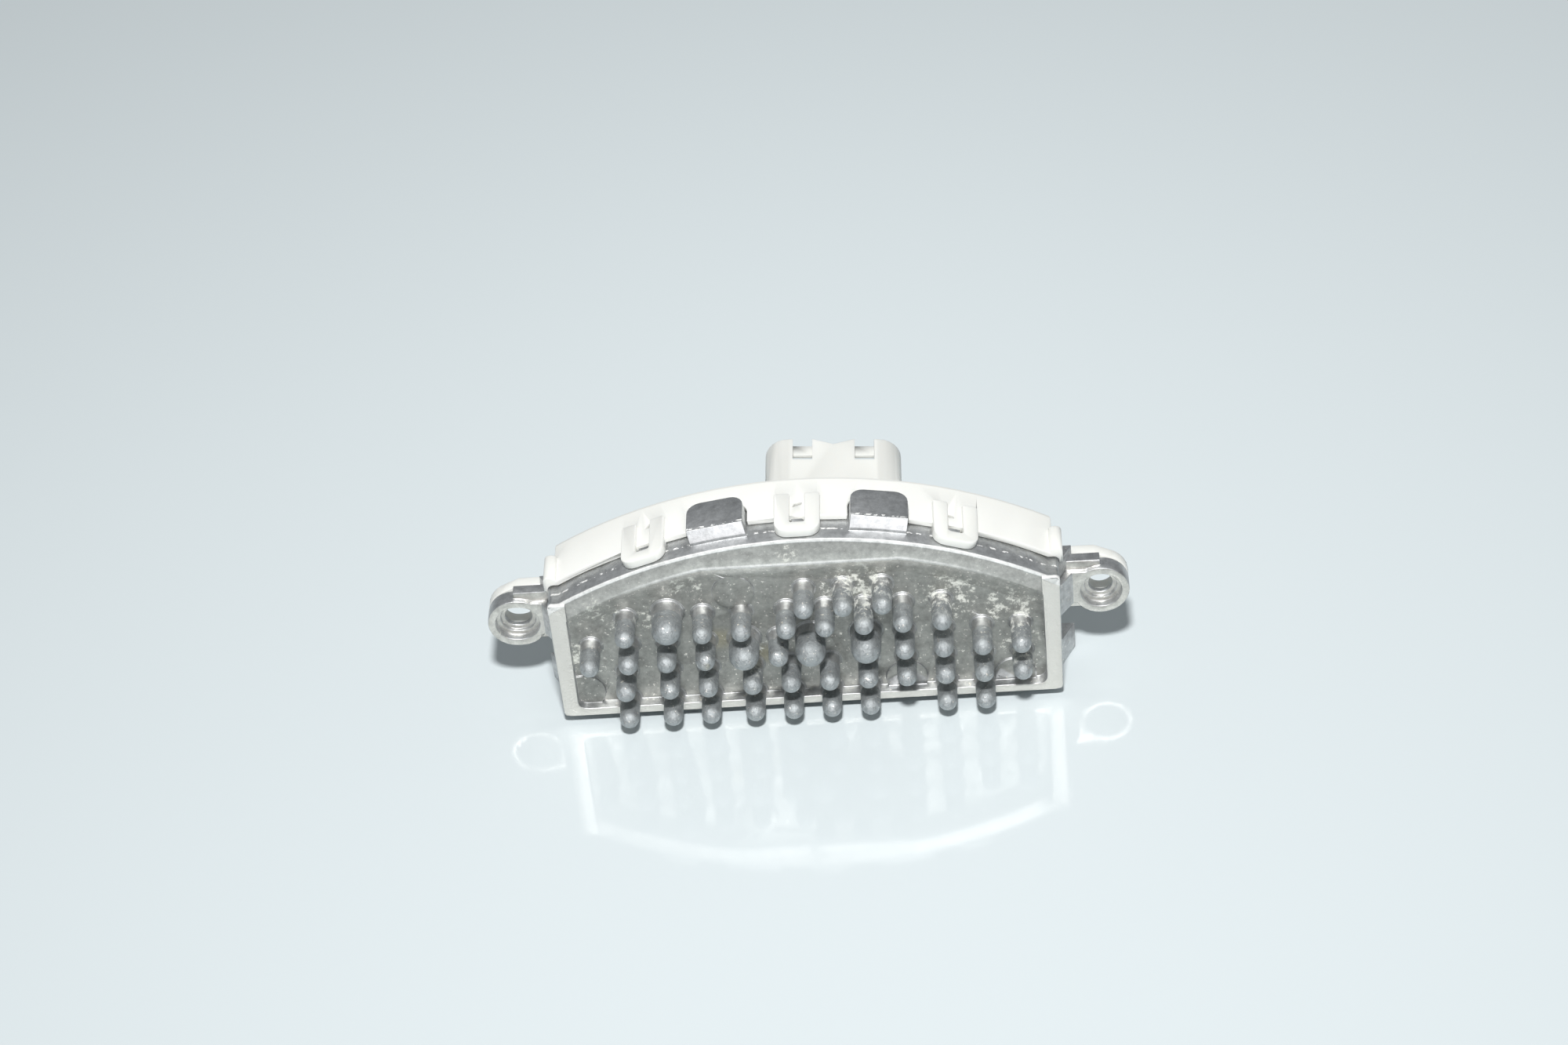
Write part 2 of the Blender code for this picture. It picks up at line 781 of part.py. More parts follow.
def add_ear(sink, side, travel):
    """Ear with a stepped bore, a web and a gusset."""
    centre = (side * ear_spacing / 2, ear_z)
    ring = prism("ring", obround(centre, travel, ear_radius), ear_front_y, past_back(4))
    inner_x, outer_x = sorted((side * (frame_half_top - overshoot), side * ear_spacing / 2))
    web_front_y = sink_depth - web_thickness
    web = box("web", (inner_x, web_front_y, web_low_z), (outer_x, past_back(3), web_high_z))
    gusset = side_slab(side, gusset_outline(past_back(5)), gusset_low_z, gusset_high_z)
    join(sink, ring, web, gusset)
    bore_end = ear_front_y + counterbore_depth
    bore = prism("bore", obround(centre, travel, counterbore_radius), ear_front_y - overshoot, bore_end)
    step_end = bore_end + step_depth
    step = prism("step", obround(centre, travel, step_radius), bore_end - overshoot, step_end)
    hole_outline = obround(centre, travel, ear_hole_radius)
    hole = prism("hole", hole_outline, ear_front_y - 2 * overshoot, past_back(6))
    cut(sink, bore, step, hole)


def build_heat_sink():
    """Casting: tray, foot, blocks, ears, tabs, lugs, pads, bosses and pins in one solid."""
    # Each solid runs past the back by its own amount, and one cut then faces the back off
    sink = prism("heat_sink", body_outline(0), rim_relief, past_back(1))
    join(sink, prism("rim", rim_outline(), 0, rim_relief + overshoot))
    foot_half = frame_half_bottom - frame_corner
    foot_low = (-foot_half, foot_front_y, -foot_drop)
    join(sink, box("foot", foot_low, (foot_half, past_back(2), foot_height - foot_drop)))
    for side, travel in ear_sides():
        outline = block_outline(block_front_y, block_reach, past_back(7))
        join(sink, side_slab(side, outline, upper_block_low_z, upper_block_high_z))
        join(sink, side_slab(side, outline, -foot_drop, lower_block_high_z))
        add_ear(sink, side, travel)

    cut(sink, rim_relief_cutter(), pocket_cutter())
    cut(sink, prism("hollow", hollow_outline(sink_wall), sink_floor_back_y, past_back(8)))
    wide = ear_spacing
    cut(sink, box("facing", (-wide, sink_depth, -wide), (wide, past_back(10), wide)))

    for side in (-1, 1):
        join(sink, arc_tab(side * tab_angle))
    for turn in (-1, 0, 1):
        join(sink, clip_lug(turn * clip_pitch_angle))
    for place in ejector_pads:
        join(sink, ejector_pad(place))

    root_y = sink_floor_back_y - overshoot
    seats = [(place, board_front_y - seat_gap) for place in screw_places]
    seats.append((clamp_place, transistor_back_y))
    for place, seat_y in seats:
        join(sink, cylinder("boss", boss_radius, place, root_y, seat_y, boss_sides))
    for place, seat_y in seats:
        bore_y = seat_y - boss_bore_depth
        cut(sink, cylinder("bore", thread_radius, place, bore_y, seat_y + overshoot, bore_sides))

    join(sink, all_pins())
    return sink


def clip_outline():
    """U outline of a clip in (x, y): two arms, with a bar across the front."""
    outer = clip_width / 2
    inner = outer - clip_arm_width
    bar_y = clip_front_y + clip_bar_length
    corners = (
        (-outer, clip_front_y),
        (outer, clip_front_y),
        (outer, clip_back_y),
        (inner, clip_back_y),
        (inner, bar_y),
        (-inner, bar_y),
        (-inner, clip_back_y),
        (-outer, clip_back_y),
    )
    soft = clip_soft_corner
    return rounded(corners, (clip_corner, clip_corner) + (soft,) * 6, 5)


def clip(angle):
    """Snap clip: a U of the cover's wall that rises over it and reaches past its edge."""
    top = skirt_outer_radius + clip_raise
    return turn_with_arc(slab("clip", clip_outline(), skirt_inner_radius, top), angle)


def ear_plate(side):
    """Plate of the cover behind an ear of the casting."""
    x = ear_spacing / 2
    low = ear_z - ear_radius
    high = ear_z + ear_radius + cover_ear_rise
    root = cap_half_width - ear_plate_root
    points = [(root, low)]
    steps = 12
    for step in range(steps + 1):
        angle = -pi / 2 + cover_ear_sweep * step / steps
        points.append((x + ear_radius * cos(angle), ear_z + ear_radius * sin(angle)))
    points += [(x - cover_ear_flat, high), (root, high)]
    if side < 0:
        points = [(-px, pz) for px, pz in reversed(points)]
    back_y = cover_front_y + cover_ear_thickness
    plate = prism("ear_plate", points, cover_front_y, back_y)
    travel = slot_travel if side < 0 else 0
    hole_outline = obround((side * x, ear_z), travel, cover_ear_hole_radius)
    cut(plate, prism("hole", hole_outline, cover_front_y - overshoot, back_y + overshoot))
    return plate


def socket_shell(width, height, front_y, back_y, corner):
    """Rounded block on the socket's axis."""
    outline = rectangle(
        width / 2, socket_mid_radius - height / 2, socket_mid_radius + height / 2, corner, 6
    )
    return turn_with_arc(prism("socket", outline, front_y, back_y), socket_angle)


def build_housing():
    """Cover: skirt over the arc, cap, bay, ears, clips and socket in one moulding."""
    housing = prism("housing", cap_outline(), cover_front_y, cap_back_y)
    soften_back(housing, cap_back_y, cap_edge)

    bay = prism("bay", bay_outline(0), cap_back_y - cover_wall, bay_back_y)
    soften_back(bay, bay_back_y, cap_edge)
    join(housing, bay)
    join(
        housing,
        socket_shell(
            socket_width, socket_height, cap_back_y - cover_wall / 2, socket_mouth_y, socket_corner
        ),
    )

    cap_hollow = hollow_outline(sink_wall + cap_inner_step)
    cut(housing, prism("cap_hollow", cap_hollow, cover_front_y - overshoot, cap_back_y - cover_wall))
    bay_hollow = bay_outline(cover_wall)
    cut(housing, prism("bay_hollow", bay_hollow, cover_front_y, bay_back_y - cover_wall))
    inner_width = socket_width - 2 * socket_wall
    inner_height = socket_height - 2 * socket_wall
    inner_corner = socket_corner - socket_wall
    cut(
        housing,
        socket_shell(inner_width, inner_height, socket_floor_y, socket_mouth_y + overshoot, inner_corner),
    )

    join(housing, skirt())
    for side in (-1, 1):
        join(housing, ear_plate(side))
        cut(housing, tab_cutout(side * tab_angle))
    for turn, corners in core_openings:
        join(housing, clip(turn * clip_pitch_angle))
        cut(housing, core_opening(corners, turn * clip_pitch_angle))

    for side in (-1, 1):
        add_keyway(housing, side * socket_notch_spacing / 2)
    cut(housing, socket_dip())
    join(housing, latch_ramp())
    slot_front_y = bay_back_y - 2 * cover_wall
    for offset, width in blade_places():
        cut(housing, blade_block("slot", offset, width, seat_gap, slot_front_y, bay_back_y + overshoot))
    return housing


def soften_back(item, back_y, width):
    """Round the edges round a prism's back face."""
    shape = bmesh.new()
    shape.from_mesh(item.data)
    bmesh.ops.dissolve_limit(
        shape, angle_limit=flat_angle, verts=shape.verts, edges=shape.edges
    )
    edges = [e for e in shape.edges if all(v.co.y > back_y - width / 2 for v in e.verts)]
    bmesh.ops.bevel(shape, geom=edges, offset=width, segments=3, profile=0.5, affect="EDGES")
    shape.to_mesh(item.data)
    shape.free()


def skirt():
    """Skirt over the arc, with a bead round each end."""
    band_end_y = cover_front_y + overshoot / 2
    low = rim_top_z - bead_height
    outline = [(-cap_half_width, low), (cap_half_width, low)] + cap_arch()
    band = prism("skirt", outline, skirt_front_y, band_end_y)
    top = rim_top_z + seat_gap + skirt_thickness + bead_rise
    outer = frame_half_top + seat_gap + skirt_thickness / 2
    for side in (-1, 1):
        corners = (
            (side * (outer - bead_width), top - bead_height),
            (side * outer, top - bead_height),
            (side * outer, top),
            (side * (outer - bead_width), top),
        )
        radii = (0, 0, bead_corner, bead_corner)
        bead_end_y = skirt_front_y + bead_length
        join(band, prism("bead", rounded(corners, radii), skirt_front_y, bead_end_y))
    inside = body_outline(seat_gap)
    cut(band, prism("inside", inside, skirt_front_y - overshoot, band_end_y + overshoot))
    return band


def tab_cutout(angle):
    """Cut-out of the skirt round a tab."""
    half = tab_width / 2 + seat_gap
    back_y = tab_front_y + tab_length + seat_gap
    corners = ((-half, 0), (half, 0), (half, back_y), (-half, back_y))
    outline = rounded(corners, (0, 0, tab_corner, tab_corner), 5)
    low = arc_radius - overshoot
    high = skirt_outer_radius + overshoot
    return turn_with_arc(slab("cutout", outline, low, high), angle)


def core_opening(corners, angle):
    """Small opening that a core of the mould leaves in the wall behind a clip's bar."""
    low = skirt_inner_radius - overshoot
    high = skirt_outer_radius + overshoot
    return turn_with_arc(slab("core_opening", corners, low, high), angle)


def socket_block(name, offset, half, front_y, back_y, low, high):
    """Block on the socket's top wall, between two depths and two radii."""
    block = box(name, (offset - half, front_y, low), (offset + half, back_y, high))
    return turn_with_arc(block, socket_angle)


def add_keyway(housing, offset):
    """Keyway in the top wall of the socket: a latch window with a thin bridge at the mouth."""
    half = socket_notch_width / 2
    start_y = socket_mouth_y - socket_notch_length
    bridge_y = socket_mouth_y - bridge_length
    under = socket_top_radius - socket_wall
    over = socket_top_radius + overshoot
    end_y = socket_mouth_y + overshoot
    low = under - bridge_thickness
    wide = half + bridge_margin
    middle = under + socket_wall / 2
    join(housing, socket_block("bridge", offset, wide, bridge_y, socket_mouth_y, low, middle))
    cut(
        housing,
        socket_block("keyway", offset, half, bridge_y - overshoot, end_y, under - bridge_step, over),
        socket_block("window", offset, half, start_y, bridge_y, low - overshoot, over + overshoot),
    )


def socket_dip():
    """Shallow dip in the mouth's top edge, between the keyways."""
    half = socket_dip_width / 2 * (1 + overshoot / socket_dip_depth)
    end_y = socket_mouth_y + overshoot
    outline = ((-half, end_y), (0, socket_mouth_y - socket_dip_depth), (half, end_y))
    low = socket_top_radius - socket_wall - overshoot
    return turn_with_arc(slab("dip", outline, low, socket_top_radius + overshoot), socket_angle)


def latch_ramp():
    """Ramp under the socket that the plug's latch catches on."""
    foot = socket_mid_radius - socket_height / 2
    start = socket_mouth_y - latch_setback - latch_length
    ramp = box(
        "latch",
        (-latch_width / 2, start, foot - latch_height),
        (latch_width / 2, start + latch_length, foot + socket_wall / 2),
    )
    for vert in ramp.data.vertices:
        if vert.co.y > start + latch_length / 2 and vert.co.z < foot:
            vert.co.z = foot - latch_end_height
    return turn_with_arc(ramp, socket_angle)


def blade_places():
    """Offset along the socket and width of each terminal."""
    spread = socket_notch_spacing / 2
    return (
        (-spread, power_blade_width),
        (-signal_blade_offset, signal_blade_width),
        (signal_blade_offset, signal_blade_width),
        (spread, power_blade_width),
    )


def blade_block(name, offset, width, margin, front_y, back_y):
    """Block on the line of a terminal, with a margin all round it."""
    half = width / 2 + margin
    rise = blade_thickness / 2 + margin
    block = box(
        name,
        (offset - half, front_y, socket_mid_radius - rise),
        (offset + half, back_y, socket_mid_radius + rise),
    )
    return turn_with_arc(block, socket_angle)


def build_terminals():
    """Four terminals from the board to the socket, each with a chamfered tip."""
    names = ("power_terminal_left", "signal_terminal_left", "signal_terminal_right", "power_terminal_right")
    pieces = []
    tip_y = socket_floor_y + blade_reach
    for name, (offset, width) in zip(names, blade_places()):
        blade = box(
            name,
            (offset - width / 2, parts_seat_y, socket_mid_radius - blade_thickness / 2),
            (offset + width / 2, tip_y, socket_mid_radius + blade_thickness / 2),
        )
        shape = bmesh.new()
        shape.from_mesh(blade.data)
        tip = [e for e in shape.edges if all(v.co.y > tip_y - overshoot for v in e.verts)]
        bmesh.ops.bevel(shape, geom=tip, offset=blade_chamfer, segments=1, profile=0.5, affect="EDGES")
        shape.to_mesh(blade.data)
        shape.free()
        pieces.append(turn_with_arc(blade, socket_angle))
    return pieces


def build_carrier():
    """Carrier that holds the terminals against the socket's floor."""
    back_y = bay_back_y - cover_wall - seat_gap
    front_y = back_y - carrier_length
    outline = rectangle(
        carrier_width / 2,
        socket_mid_radius - carrier_height / 2,
        socket_mid_radius + carrier_height / 2,
        carrier_corner,
        2,
    )
    carrier = turn_with_arc(prism("terminal_carrier", outline, front_y, back_y), socket_angle)
    for offset, width in blade_places():
        slot = blade_block("slot", offset, width, seat_gap, front_y - overshoot, back_y + overshoot)
        cut(carrier, slot)
    return carrier


def build_board():
    """Circuit board cut to the inside of the casting."""
    board = prism("circuit_board", hollow_outline(sink_wall + board_margin), board_front_y, board_back_y)
    holes = [(place, board_hole_radius) for place in screw_places]
    holes.append((clamp_place, screw_head_radius + 2 * seat_gap))
    for place, radius in holes:
        front_y = board_front_y - overshoot
        cut(board, cylinder("hole", radius, place, front_y, board_back_y + overshoot, boss_sides))
    return board


def screw_mesh(length):
    """Low-headed screw about Z, with its head's seat at z = 0 and its shank below."""
    head = screw_head_height
    shank = screw_shank_radius
    profile = (
        (0, head),
        (screw_head_radius * 0.75, head),
        (screw_head_radius, head / 2),
        (screw_head_radius, 0),
        (shank, 0),
        (shank, shank / 2 - length),
        (shank / 2, -length),
        (0, -length),
    )
    item = turned("screw", profile, screw_sides)
    mesh = item.data.copy()
    bpy.data.objects.remove(item, do_unlink=True)
    return mesh


def build_screws():
    """Board screws and the clamp's screw, each driven from the back."""
    pieces = []
    for index, (x, z) in enumerate(screw_places):
        screw = new_object(f"board_screw_{index + 1}", screw_mesh(screw_length))
        screw.location = (x, board_back_y + seat_gap, z)
        screw.rotation_euler = (-pi / 2, 0, 0)
        pieces.append(screw)
    screw = new_object("clamp_screw", screw_mesh(screw_length - board_thickness))
    screw.location = (clamp_place[0], clamp_back_y + seat_gap, clamp_place[1])
    screw.rotation_euler = (-pi / 2, 0, 0)
    pieces.append(screw)
    return pieces


def build_clamp():
    """Spring strip across both transistors."""
    reach = transistor_x - transistor_width / 2 + clamp_overlap
    low = clamp_place[1] - clamp_width / 2
    high = clamp_place[1] + clamp_width / 2
    outline = rectangle(reach, low, high, clamp_corner)
    clamp = prism("transistor_clamp", outline, clamp_front_y, clamp_back_y)
    hole_front_y = clamp_front_y - overshoot
    hole_back_y = clamp_back_y + overshoot
    cut(clamp, cylinder("hole", board_hole_radius, clamp_place, hole_front_y, hole_back_y, boss_sides))
    return clamp


def build_transistor(name, x):
    """Power transistor: moulded body on a metal tab, with three bent leads."""
    front = transistor_front_y
    half = transistor_width / 2
    low = transistor_z - transistor_body_height / 2
    body = box(
        name,
        (x - half, front, low),
        (x + half, front + transistor_thickness, low + transistor_body_height),
    )
    shape = bmesh.new()
    shape.from_mesh(body.data)
    bmesh.ops.bevel(
        shape, geom=list(shape.edges), offset=transistor_chamfer, segments=1, profile=0.5, affect="EDGES"
    )
    shape.to_mesh(body.data)
    shape.free()
    tab_half = half - transistor_tab_inset
    tab_back_y = front + transistor_tab_thickness
    tab_top = low + transistor_tab_height
    tab = box("tab", (x - tab_half, front, low + overshoot), (x + tab_half, tab_back_y, tab_top))
    join(body, tab)
    hole_place = (x, tab_top - transistor_hole_drop)
    hole_end_y = tab_back_y + overshoot
    cut(body, cylinder("hole", transistor_hole_radius, hole_place, front - overshoot, hole_end_y, bore_sides))
    middle = front + transistor_thickness / 2
    for turn in (-1, 0, 1):
        lead_x = x + turn * lead_pitch
        down = box(
            "lead",
            (lead_x - lead_width / 2, middle - lead_thickness / 2, low - lead_drop),
            (lead_x + lead_width / 2, middle + lead_thickness / 2, low + overshoot),
        )
        back = box(
            "lead",
            (lead_x - lead_width / 2, middle - lead_thickness / 2, low - lead_drop),
            (lead_x + lead_width / 2, board_front_y - seat_gap, low - lead_drop + lead_thickness),
        )
        join(body, down, back)
    return body


def build_pad(name, x):
    """Heat-conducting pad between a transistor and the casting."""
    half = transistor_width / 2 + pad_sheet_margin
    low = transistor_z - transistor_body_height / 2 - pad_sheet_margin
    high = low + transistor_tab_height + 2 * pad_sheet_margin
    front = sink_floor_back_y + seat_gap
    return box(name, (x - half, front, low), (x + half, front + pad_sheet_thickness, high))


def build_capacitor():
    """Electrolytic capacitor on its side: crimped can and rubber bung."""
    half = capacitor_length / 2
    radius = capacitor_radius
    wall = can_edge
    groove = bung_length + can_edge
    can_profile = (
        (0, half),
        (radius - wall, half),
        (radius, half - wall),
        (radius, groove + wall - half),
        (radius - wall, groove + wall / 4 - half),
        (radius - wall, groove - wall / 4 - half),
        (radius, groove - wall - half),
        (radius, -half),
        (radius - wall, -half),
        (radius - 2 * wall, bung_length - half),
        (0, bung_length - half),
    )
    can = turned("capacitor_can", can_profile, boss_sides)
    bung_radius = radius - 2 * wall - seat_gap
    bung_top = bung_length - seat_gap - half
    bung_bottom = bung_setback - half
    bung_profile = ((0, bung_top), (bung_radius, bung_top), (bung_radius, bung_bottom), (0, bung_bottom))
    bung = turned("capacitor_bung", bung_profile, boss_sides)
    for piece in (can, bung):
        piece.rotation_euler = (0, pi / 2, 0)
        piece.location = (capacitor_x, parts_seat_y + radius, capacitor_z)
    return can, bung


def build_choke():
    """Choke: ferrite bobbin with a wound wire ring."""
    flange = choke_flange
    core_profile = (
        (0, choke_height),
        (choke_radius, choke_height),
        (choke_radius, choke_height - flange),
        (choke_neck_radius, choke_height - flange),
        (choke_neck_radius, flange),
        (choke_radius, flange),
        (choke_radius, 0),
        (0, 0),
    )
    core = turned("choke_core", core_profile, boss_sides)
    inner = choke_neck_radius + seat_gap
    outer = choke_radius - wire_setback
    valley = outer - wire_radius
    low = flange + seat_gap
    high = choke_height - flange - seat_gap
    pitch = (high - low) / wire_turns
    wire_profile = [(inner, high), (valley, high)]
    for turn in range(wire_turns):
        crest_z = high - (turn + 0.5) * pitch
        wire_profile.append((outer, crest_z))
        wire_profile.append((valley, crest_z - pitch / 2))
    wire_profile += [(inner, low), (inner, high)]
    winding = turned("choke_winding", wire_profile, boss_sides)
    for piece in (core, winding):
        piece.rotation_euler = (-pi / 2, 0, 0)
        piece.location = (choke_x, parts_seat_y, choke_z)
    return core, winding


def build_shunt():
    """Shunt: a metal strip that stands on two feet on the board."""
    half = shunt_length / 2
    foot = shunt_foot
    bend = foot + shunt_rise
    t = shunt_thickness
    rise = shunt_rise
    outline = (
        (-half, 0),
        (-half + foot, 0),
        (-half + bend, rise),
        (half - bend, rise),
        (half - foot, 0),
        (half, 0),
        (half, t),
        (half - foot + t / 2, t),
        (half - bend + t / 2, rise + t),
        (-half + bend - t / 2, rise + t),
        (-half + foot - t / 2, t),
        (-half, t),
    )
    strip = prism("shunt_resistor", outline, -shunt_width / 2, shunt_width / 2)
    strip.rotation_euler = (-pi / 2, 0, 0)
    strip.location = (shunt_x, parts_seat_y, shunt_z)
    return strip


def build_chip(name, place, size):
    """Surface-mounted chip with softened edges, on the back of the board."""
    x, z = place
    width, height, depth = size
    chip = box(name, (-width / 2, 0, -height / 2), (width / 2, depth, height / 2))
    chip.location = (x, parts_seat_y, z)
    bevel = chip.modifiers.new("edges", "BEVEL")
    bevel.width = min(size) * chip_edge_share
    bevel.segments = 1
    return chip


def finish(item, colour, metallic, roughness):
    """Give a finished piece its material, its parent and its shading."""
    item.parent = origin
    item.data.materials.clear()
    item.data.materials.append(make_material(item.name, colour, metallic, roughness))
    item.data.shade_smooth()
    item.data.set_sharp_from_angle(angle=smooth_angle)


def tidy(item):
    """Weld stray points that cuts leave on a finished solid."""
    shape = bmesh.new()
    shape.from_mesh(item.data)
    bmesh.ops.remove_doubles(shape, verts=shape.verts, dist=weld_distance)
    bmesh.ops.dissolve_degenerate(shape, edges=shape.edges, dist=weld_distance)
    shape.to_mesh(item.data)
    shape.free()


aluminium = (0.32, 0.33, 0.31)
white_plastic = (0.86, 0.86, 0.84)
black_plastic = (0.02, 0.02, 0.022)
tin = (0.6, 0.6, 0.58)
steel = (0.45, 0.45, 0.46)
copper = (0.45, 0.17, 0.07)

heat_sink = build_heat_sink()
tidy(heat_sink)
finish(heat_sink, aluminium, 0.9, 0.5)

housing = build_housing()
tidy(housing)
finish(housing, white_plastic, 0, 0.45)

for terminal in build_terminals():
    finish(terminal, tin, 1, 0.35)
finish(build_carrier(), white_plastic, 0, 0.5)
finish(build_board(), (0.02, 0.12, 0.05), 0, 0.4)
for screw in build_screws():
    finish(screw, steel, 1, 0.4)
finish(build_clamp(), steel, 1, 0.35)
for name, x in (("left", -transistor_x), ("right", transistor_x)):
    finish(build_transistor(f"power_transistor_{name}", x), black_plastic, 0, 0.45)
    finish(build_pad(f"thermal_pad_{name}", x), (0.55, 0.56, 0.6), 0, 0.8)
can, bung = build_capacitor()
finish(can, steel, 1, 0.3)
finish(bung, black_plastic, 0, 0.7)
core, winding = build_choke()
finish(core, (0.04, 0.04, 0.045), 0, 0.6)
finish(winding, copper, 1, 0.35)
finish(build_shunt(), copper, 1, 0.45)

# Name, distance from the right end of the board, height, and size in millimetres
chips = (
    ("control_chip", 18.5 * mm, 12.0 * mm, (9.9, 6.0, 1.6)),
    ("driver_chip", 19.5 * mm, 20.5 * mm, (5.0, 4.0, 1.5)),
    ("suppressor_diode", 68.5 * mm, 8.5 * mm, (6.6, 4.4, 2.3)),
    ("chip_capacitor_1", 26.0 * mm, 16.0 * mm, (3.2, 1.6, 1.2)),
    ("chip_capacitor_2", 12.5 * mm, 20.5 * mm, (1.6, 3.2, 1.2)),
    ("chip_resistor_1", 26.0 * mm, 6.6 * mm, (3.2, 1.6, 0.8)),
    ("chip_resistor_2", 44.5 * mm, 17.0 * mm, (1.6, 3.2, 0.8)),
)
for name, inset, height, size in chips:
    chip_size = [value * mm for value in size]
    place = (board_half_width - inset, height)
    finish(build_chip(name, place, chip_size), black_plastic, 0, 0.5)
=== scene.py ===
# Blower motor resistor of a car heater: die-cast heat sink with round pins, white clipped cover
# with a plug socket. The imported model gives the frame, this script gives it its looks.
from math import cos, pi, radians, sin
import bpy
import bmesh
from mathutils import Matrix, Vector, kdtree


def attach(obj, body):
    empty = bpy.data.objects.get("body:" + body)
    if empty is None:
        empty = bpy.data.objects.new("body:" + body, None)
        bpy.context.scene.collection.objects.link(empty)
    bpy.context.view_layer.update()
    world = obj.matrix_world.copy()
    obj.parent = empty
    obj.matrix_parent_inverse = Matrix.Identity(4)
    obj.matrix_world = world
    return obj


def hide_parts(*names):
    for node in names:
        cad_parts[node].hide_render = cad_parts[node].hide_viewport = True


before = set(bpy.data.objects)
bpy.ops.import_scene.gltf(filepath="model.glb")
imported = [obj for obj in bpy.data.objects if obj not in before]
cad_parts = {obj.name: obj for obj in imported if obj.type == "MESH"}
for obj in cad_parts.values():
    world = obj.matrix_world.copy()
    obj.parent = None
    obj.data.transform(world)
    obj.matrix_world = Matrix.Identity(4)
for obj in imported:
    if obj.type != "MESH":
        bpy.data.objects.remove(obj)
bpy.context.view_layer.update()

mm = 0.001
root = "root"
modelOrigin = Vector((0, -15.55, 1.9))   # mm, middle of the casting's lower front edge


def linear(hexColour):   # sRGB hex to the linear colour that a shader takes
    channels = [int(hexColour[i:i + 2], 16) / 255 for i in (1, 3, 5)]
    return [c / 12.92 if c <= 0.04045 else ((c + 0.055) / 1.055) ** 2.4 for c in channels] + [1]


def addNode(tree, kind, settings=None, inputs=None):   # one node with its settings and its links
    node = tree.nodes.new(kind)
    for name, value in (settings or {}).items():
        setattr(node, name, value)
    for name, value in (inputs or {}).items():
        if isinstance(value, bpy.types.NodeSocket):
            tree.links.new(value, node.inputs[name])
        else:
            node.inputs[name].default_value = value
    return node


def newMaterial(name, **shaderValues):   # Principled material, and its place in mm from modelOrigin
    material = bpy.data.materials.new(name)
    material.use_nodes = True
    tree = material.node_tree
    shader = tree.nodes["Principled BSDF"]
    for key, value in shaderValues.items():
        shader.inputs[key.replace("_", " ")].default_value = value
    coordinates = addNode(tree, "ShaderNodeTexCoord")
    place = addNode(tree, "ShaderNodeVectorMath", {"operation": "MULTIPLY_ADD"}, {
        0: coordinates.outputs["Object"], 1: (1 / mm,) * 3, 2: -modelOrigin}).outputs["Vector"]
    return material, tree, shader, place, coordinates.outputs["Normal"]


# Die-cast aluminium alloy, shot into a steel die and left as cast. It gives the eye an olive-grey
# floor with clouds and a fine grain, pale salt where water stood, and worn, nearly white rims.
# Painted highlights lie along the arc's front edge, on the ridge and the slope below it, on the pin
# tips and as single glints.
castAluminium = {
    "skin": "#dedfdf",
    "cloud": "#bec0c1",
    "pocket": "#b7b7b2",
    "band": "#cfcdc8",
    "rim": "#f2eee7",
    # edge: painted highlight along the arc's front edge and on the ridge, and the colour of the bright
    # parting dashes
    "edge": "#fafaf7",
    # slope: painted highlight on the slope below the ridge
    "slope": "#e6e4de",
    "tabFace": "#fcfbfc",
    "ring": "#e4e1da",
    "pin": "#acb0b1",
    # tip: painted highlight on the pin domes
    "tip": "#c2c6c7",
    "salt": "#dfe0d9",
    "stain": "#b9b5a4",
    "roughness": 0.5,
    "arcCentre": -48.7,      # mm, height of the arc's centre
    "ridgeRadius": 82.4,     # mm, of the edge between the band and the slope to the floor
    "ridgeTop": 31.85,       # mm, height at which that edge runs straight
    "grainSize": 0.45,       # mm, the real grain of 0.1 mm drawn coarser so that it shows
    "grainDepth": 0.06,      # mm
    "glintSize": 0.6,        # mm, painted glints, one grain in size
    "cloudSize": 9.0,        # mm
    "blotchSize": 1.5,       # mm
    "partingLine": 3.4,      # mm behind the front, on the arc
    "partingReach": 0.22,    # mm to each side of it
    "dashSize": 0.8,         # mm, of the bright dashes along it
    "saltLift": 0.17,        # how far a patch lifts the noise that salt is cut from
    "wornShades": (0.72, 1.18),   # darkest and brightest share of a colour
    "bumpStrength": 0.7,
    # x, z and radius in mm of the patches of salt, and of the two stains between the pins
    "saltPatches": ((-2, 34.5, 4), (-36.5, 22.5, 6), (-21, 27.5, 6), (10, 25, 10), (26, 22, 9),
                    (36, 19, 9), (38, 10, 6), (-10, 11, 5), (-40, 12, 6), (-28, 20, 5)),
    "stains": ((-15.5, 14.5, 3.4), (-8, 10.5, 3)),
}


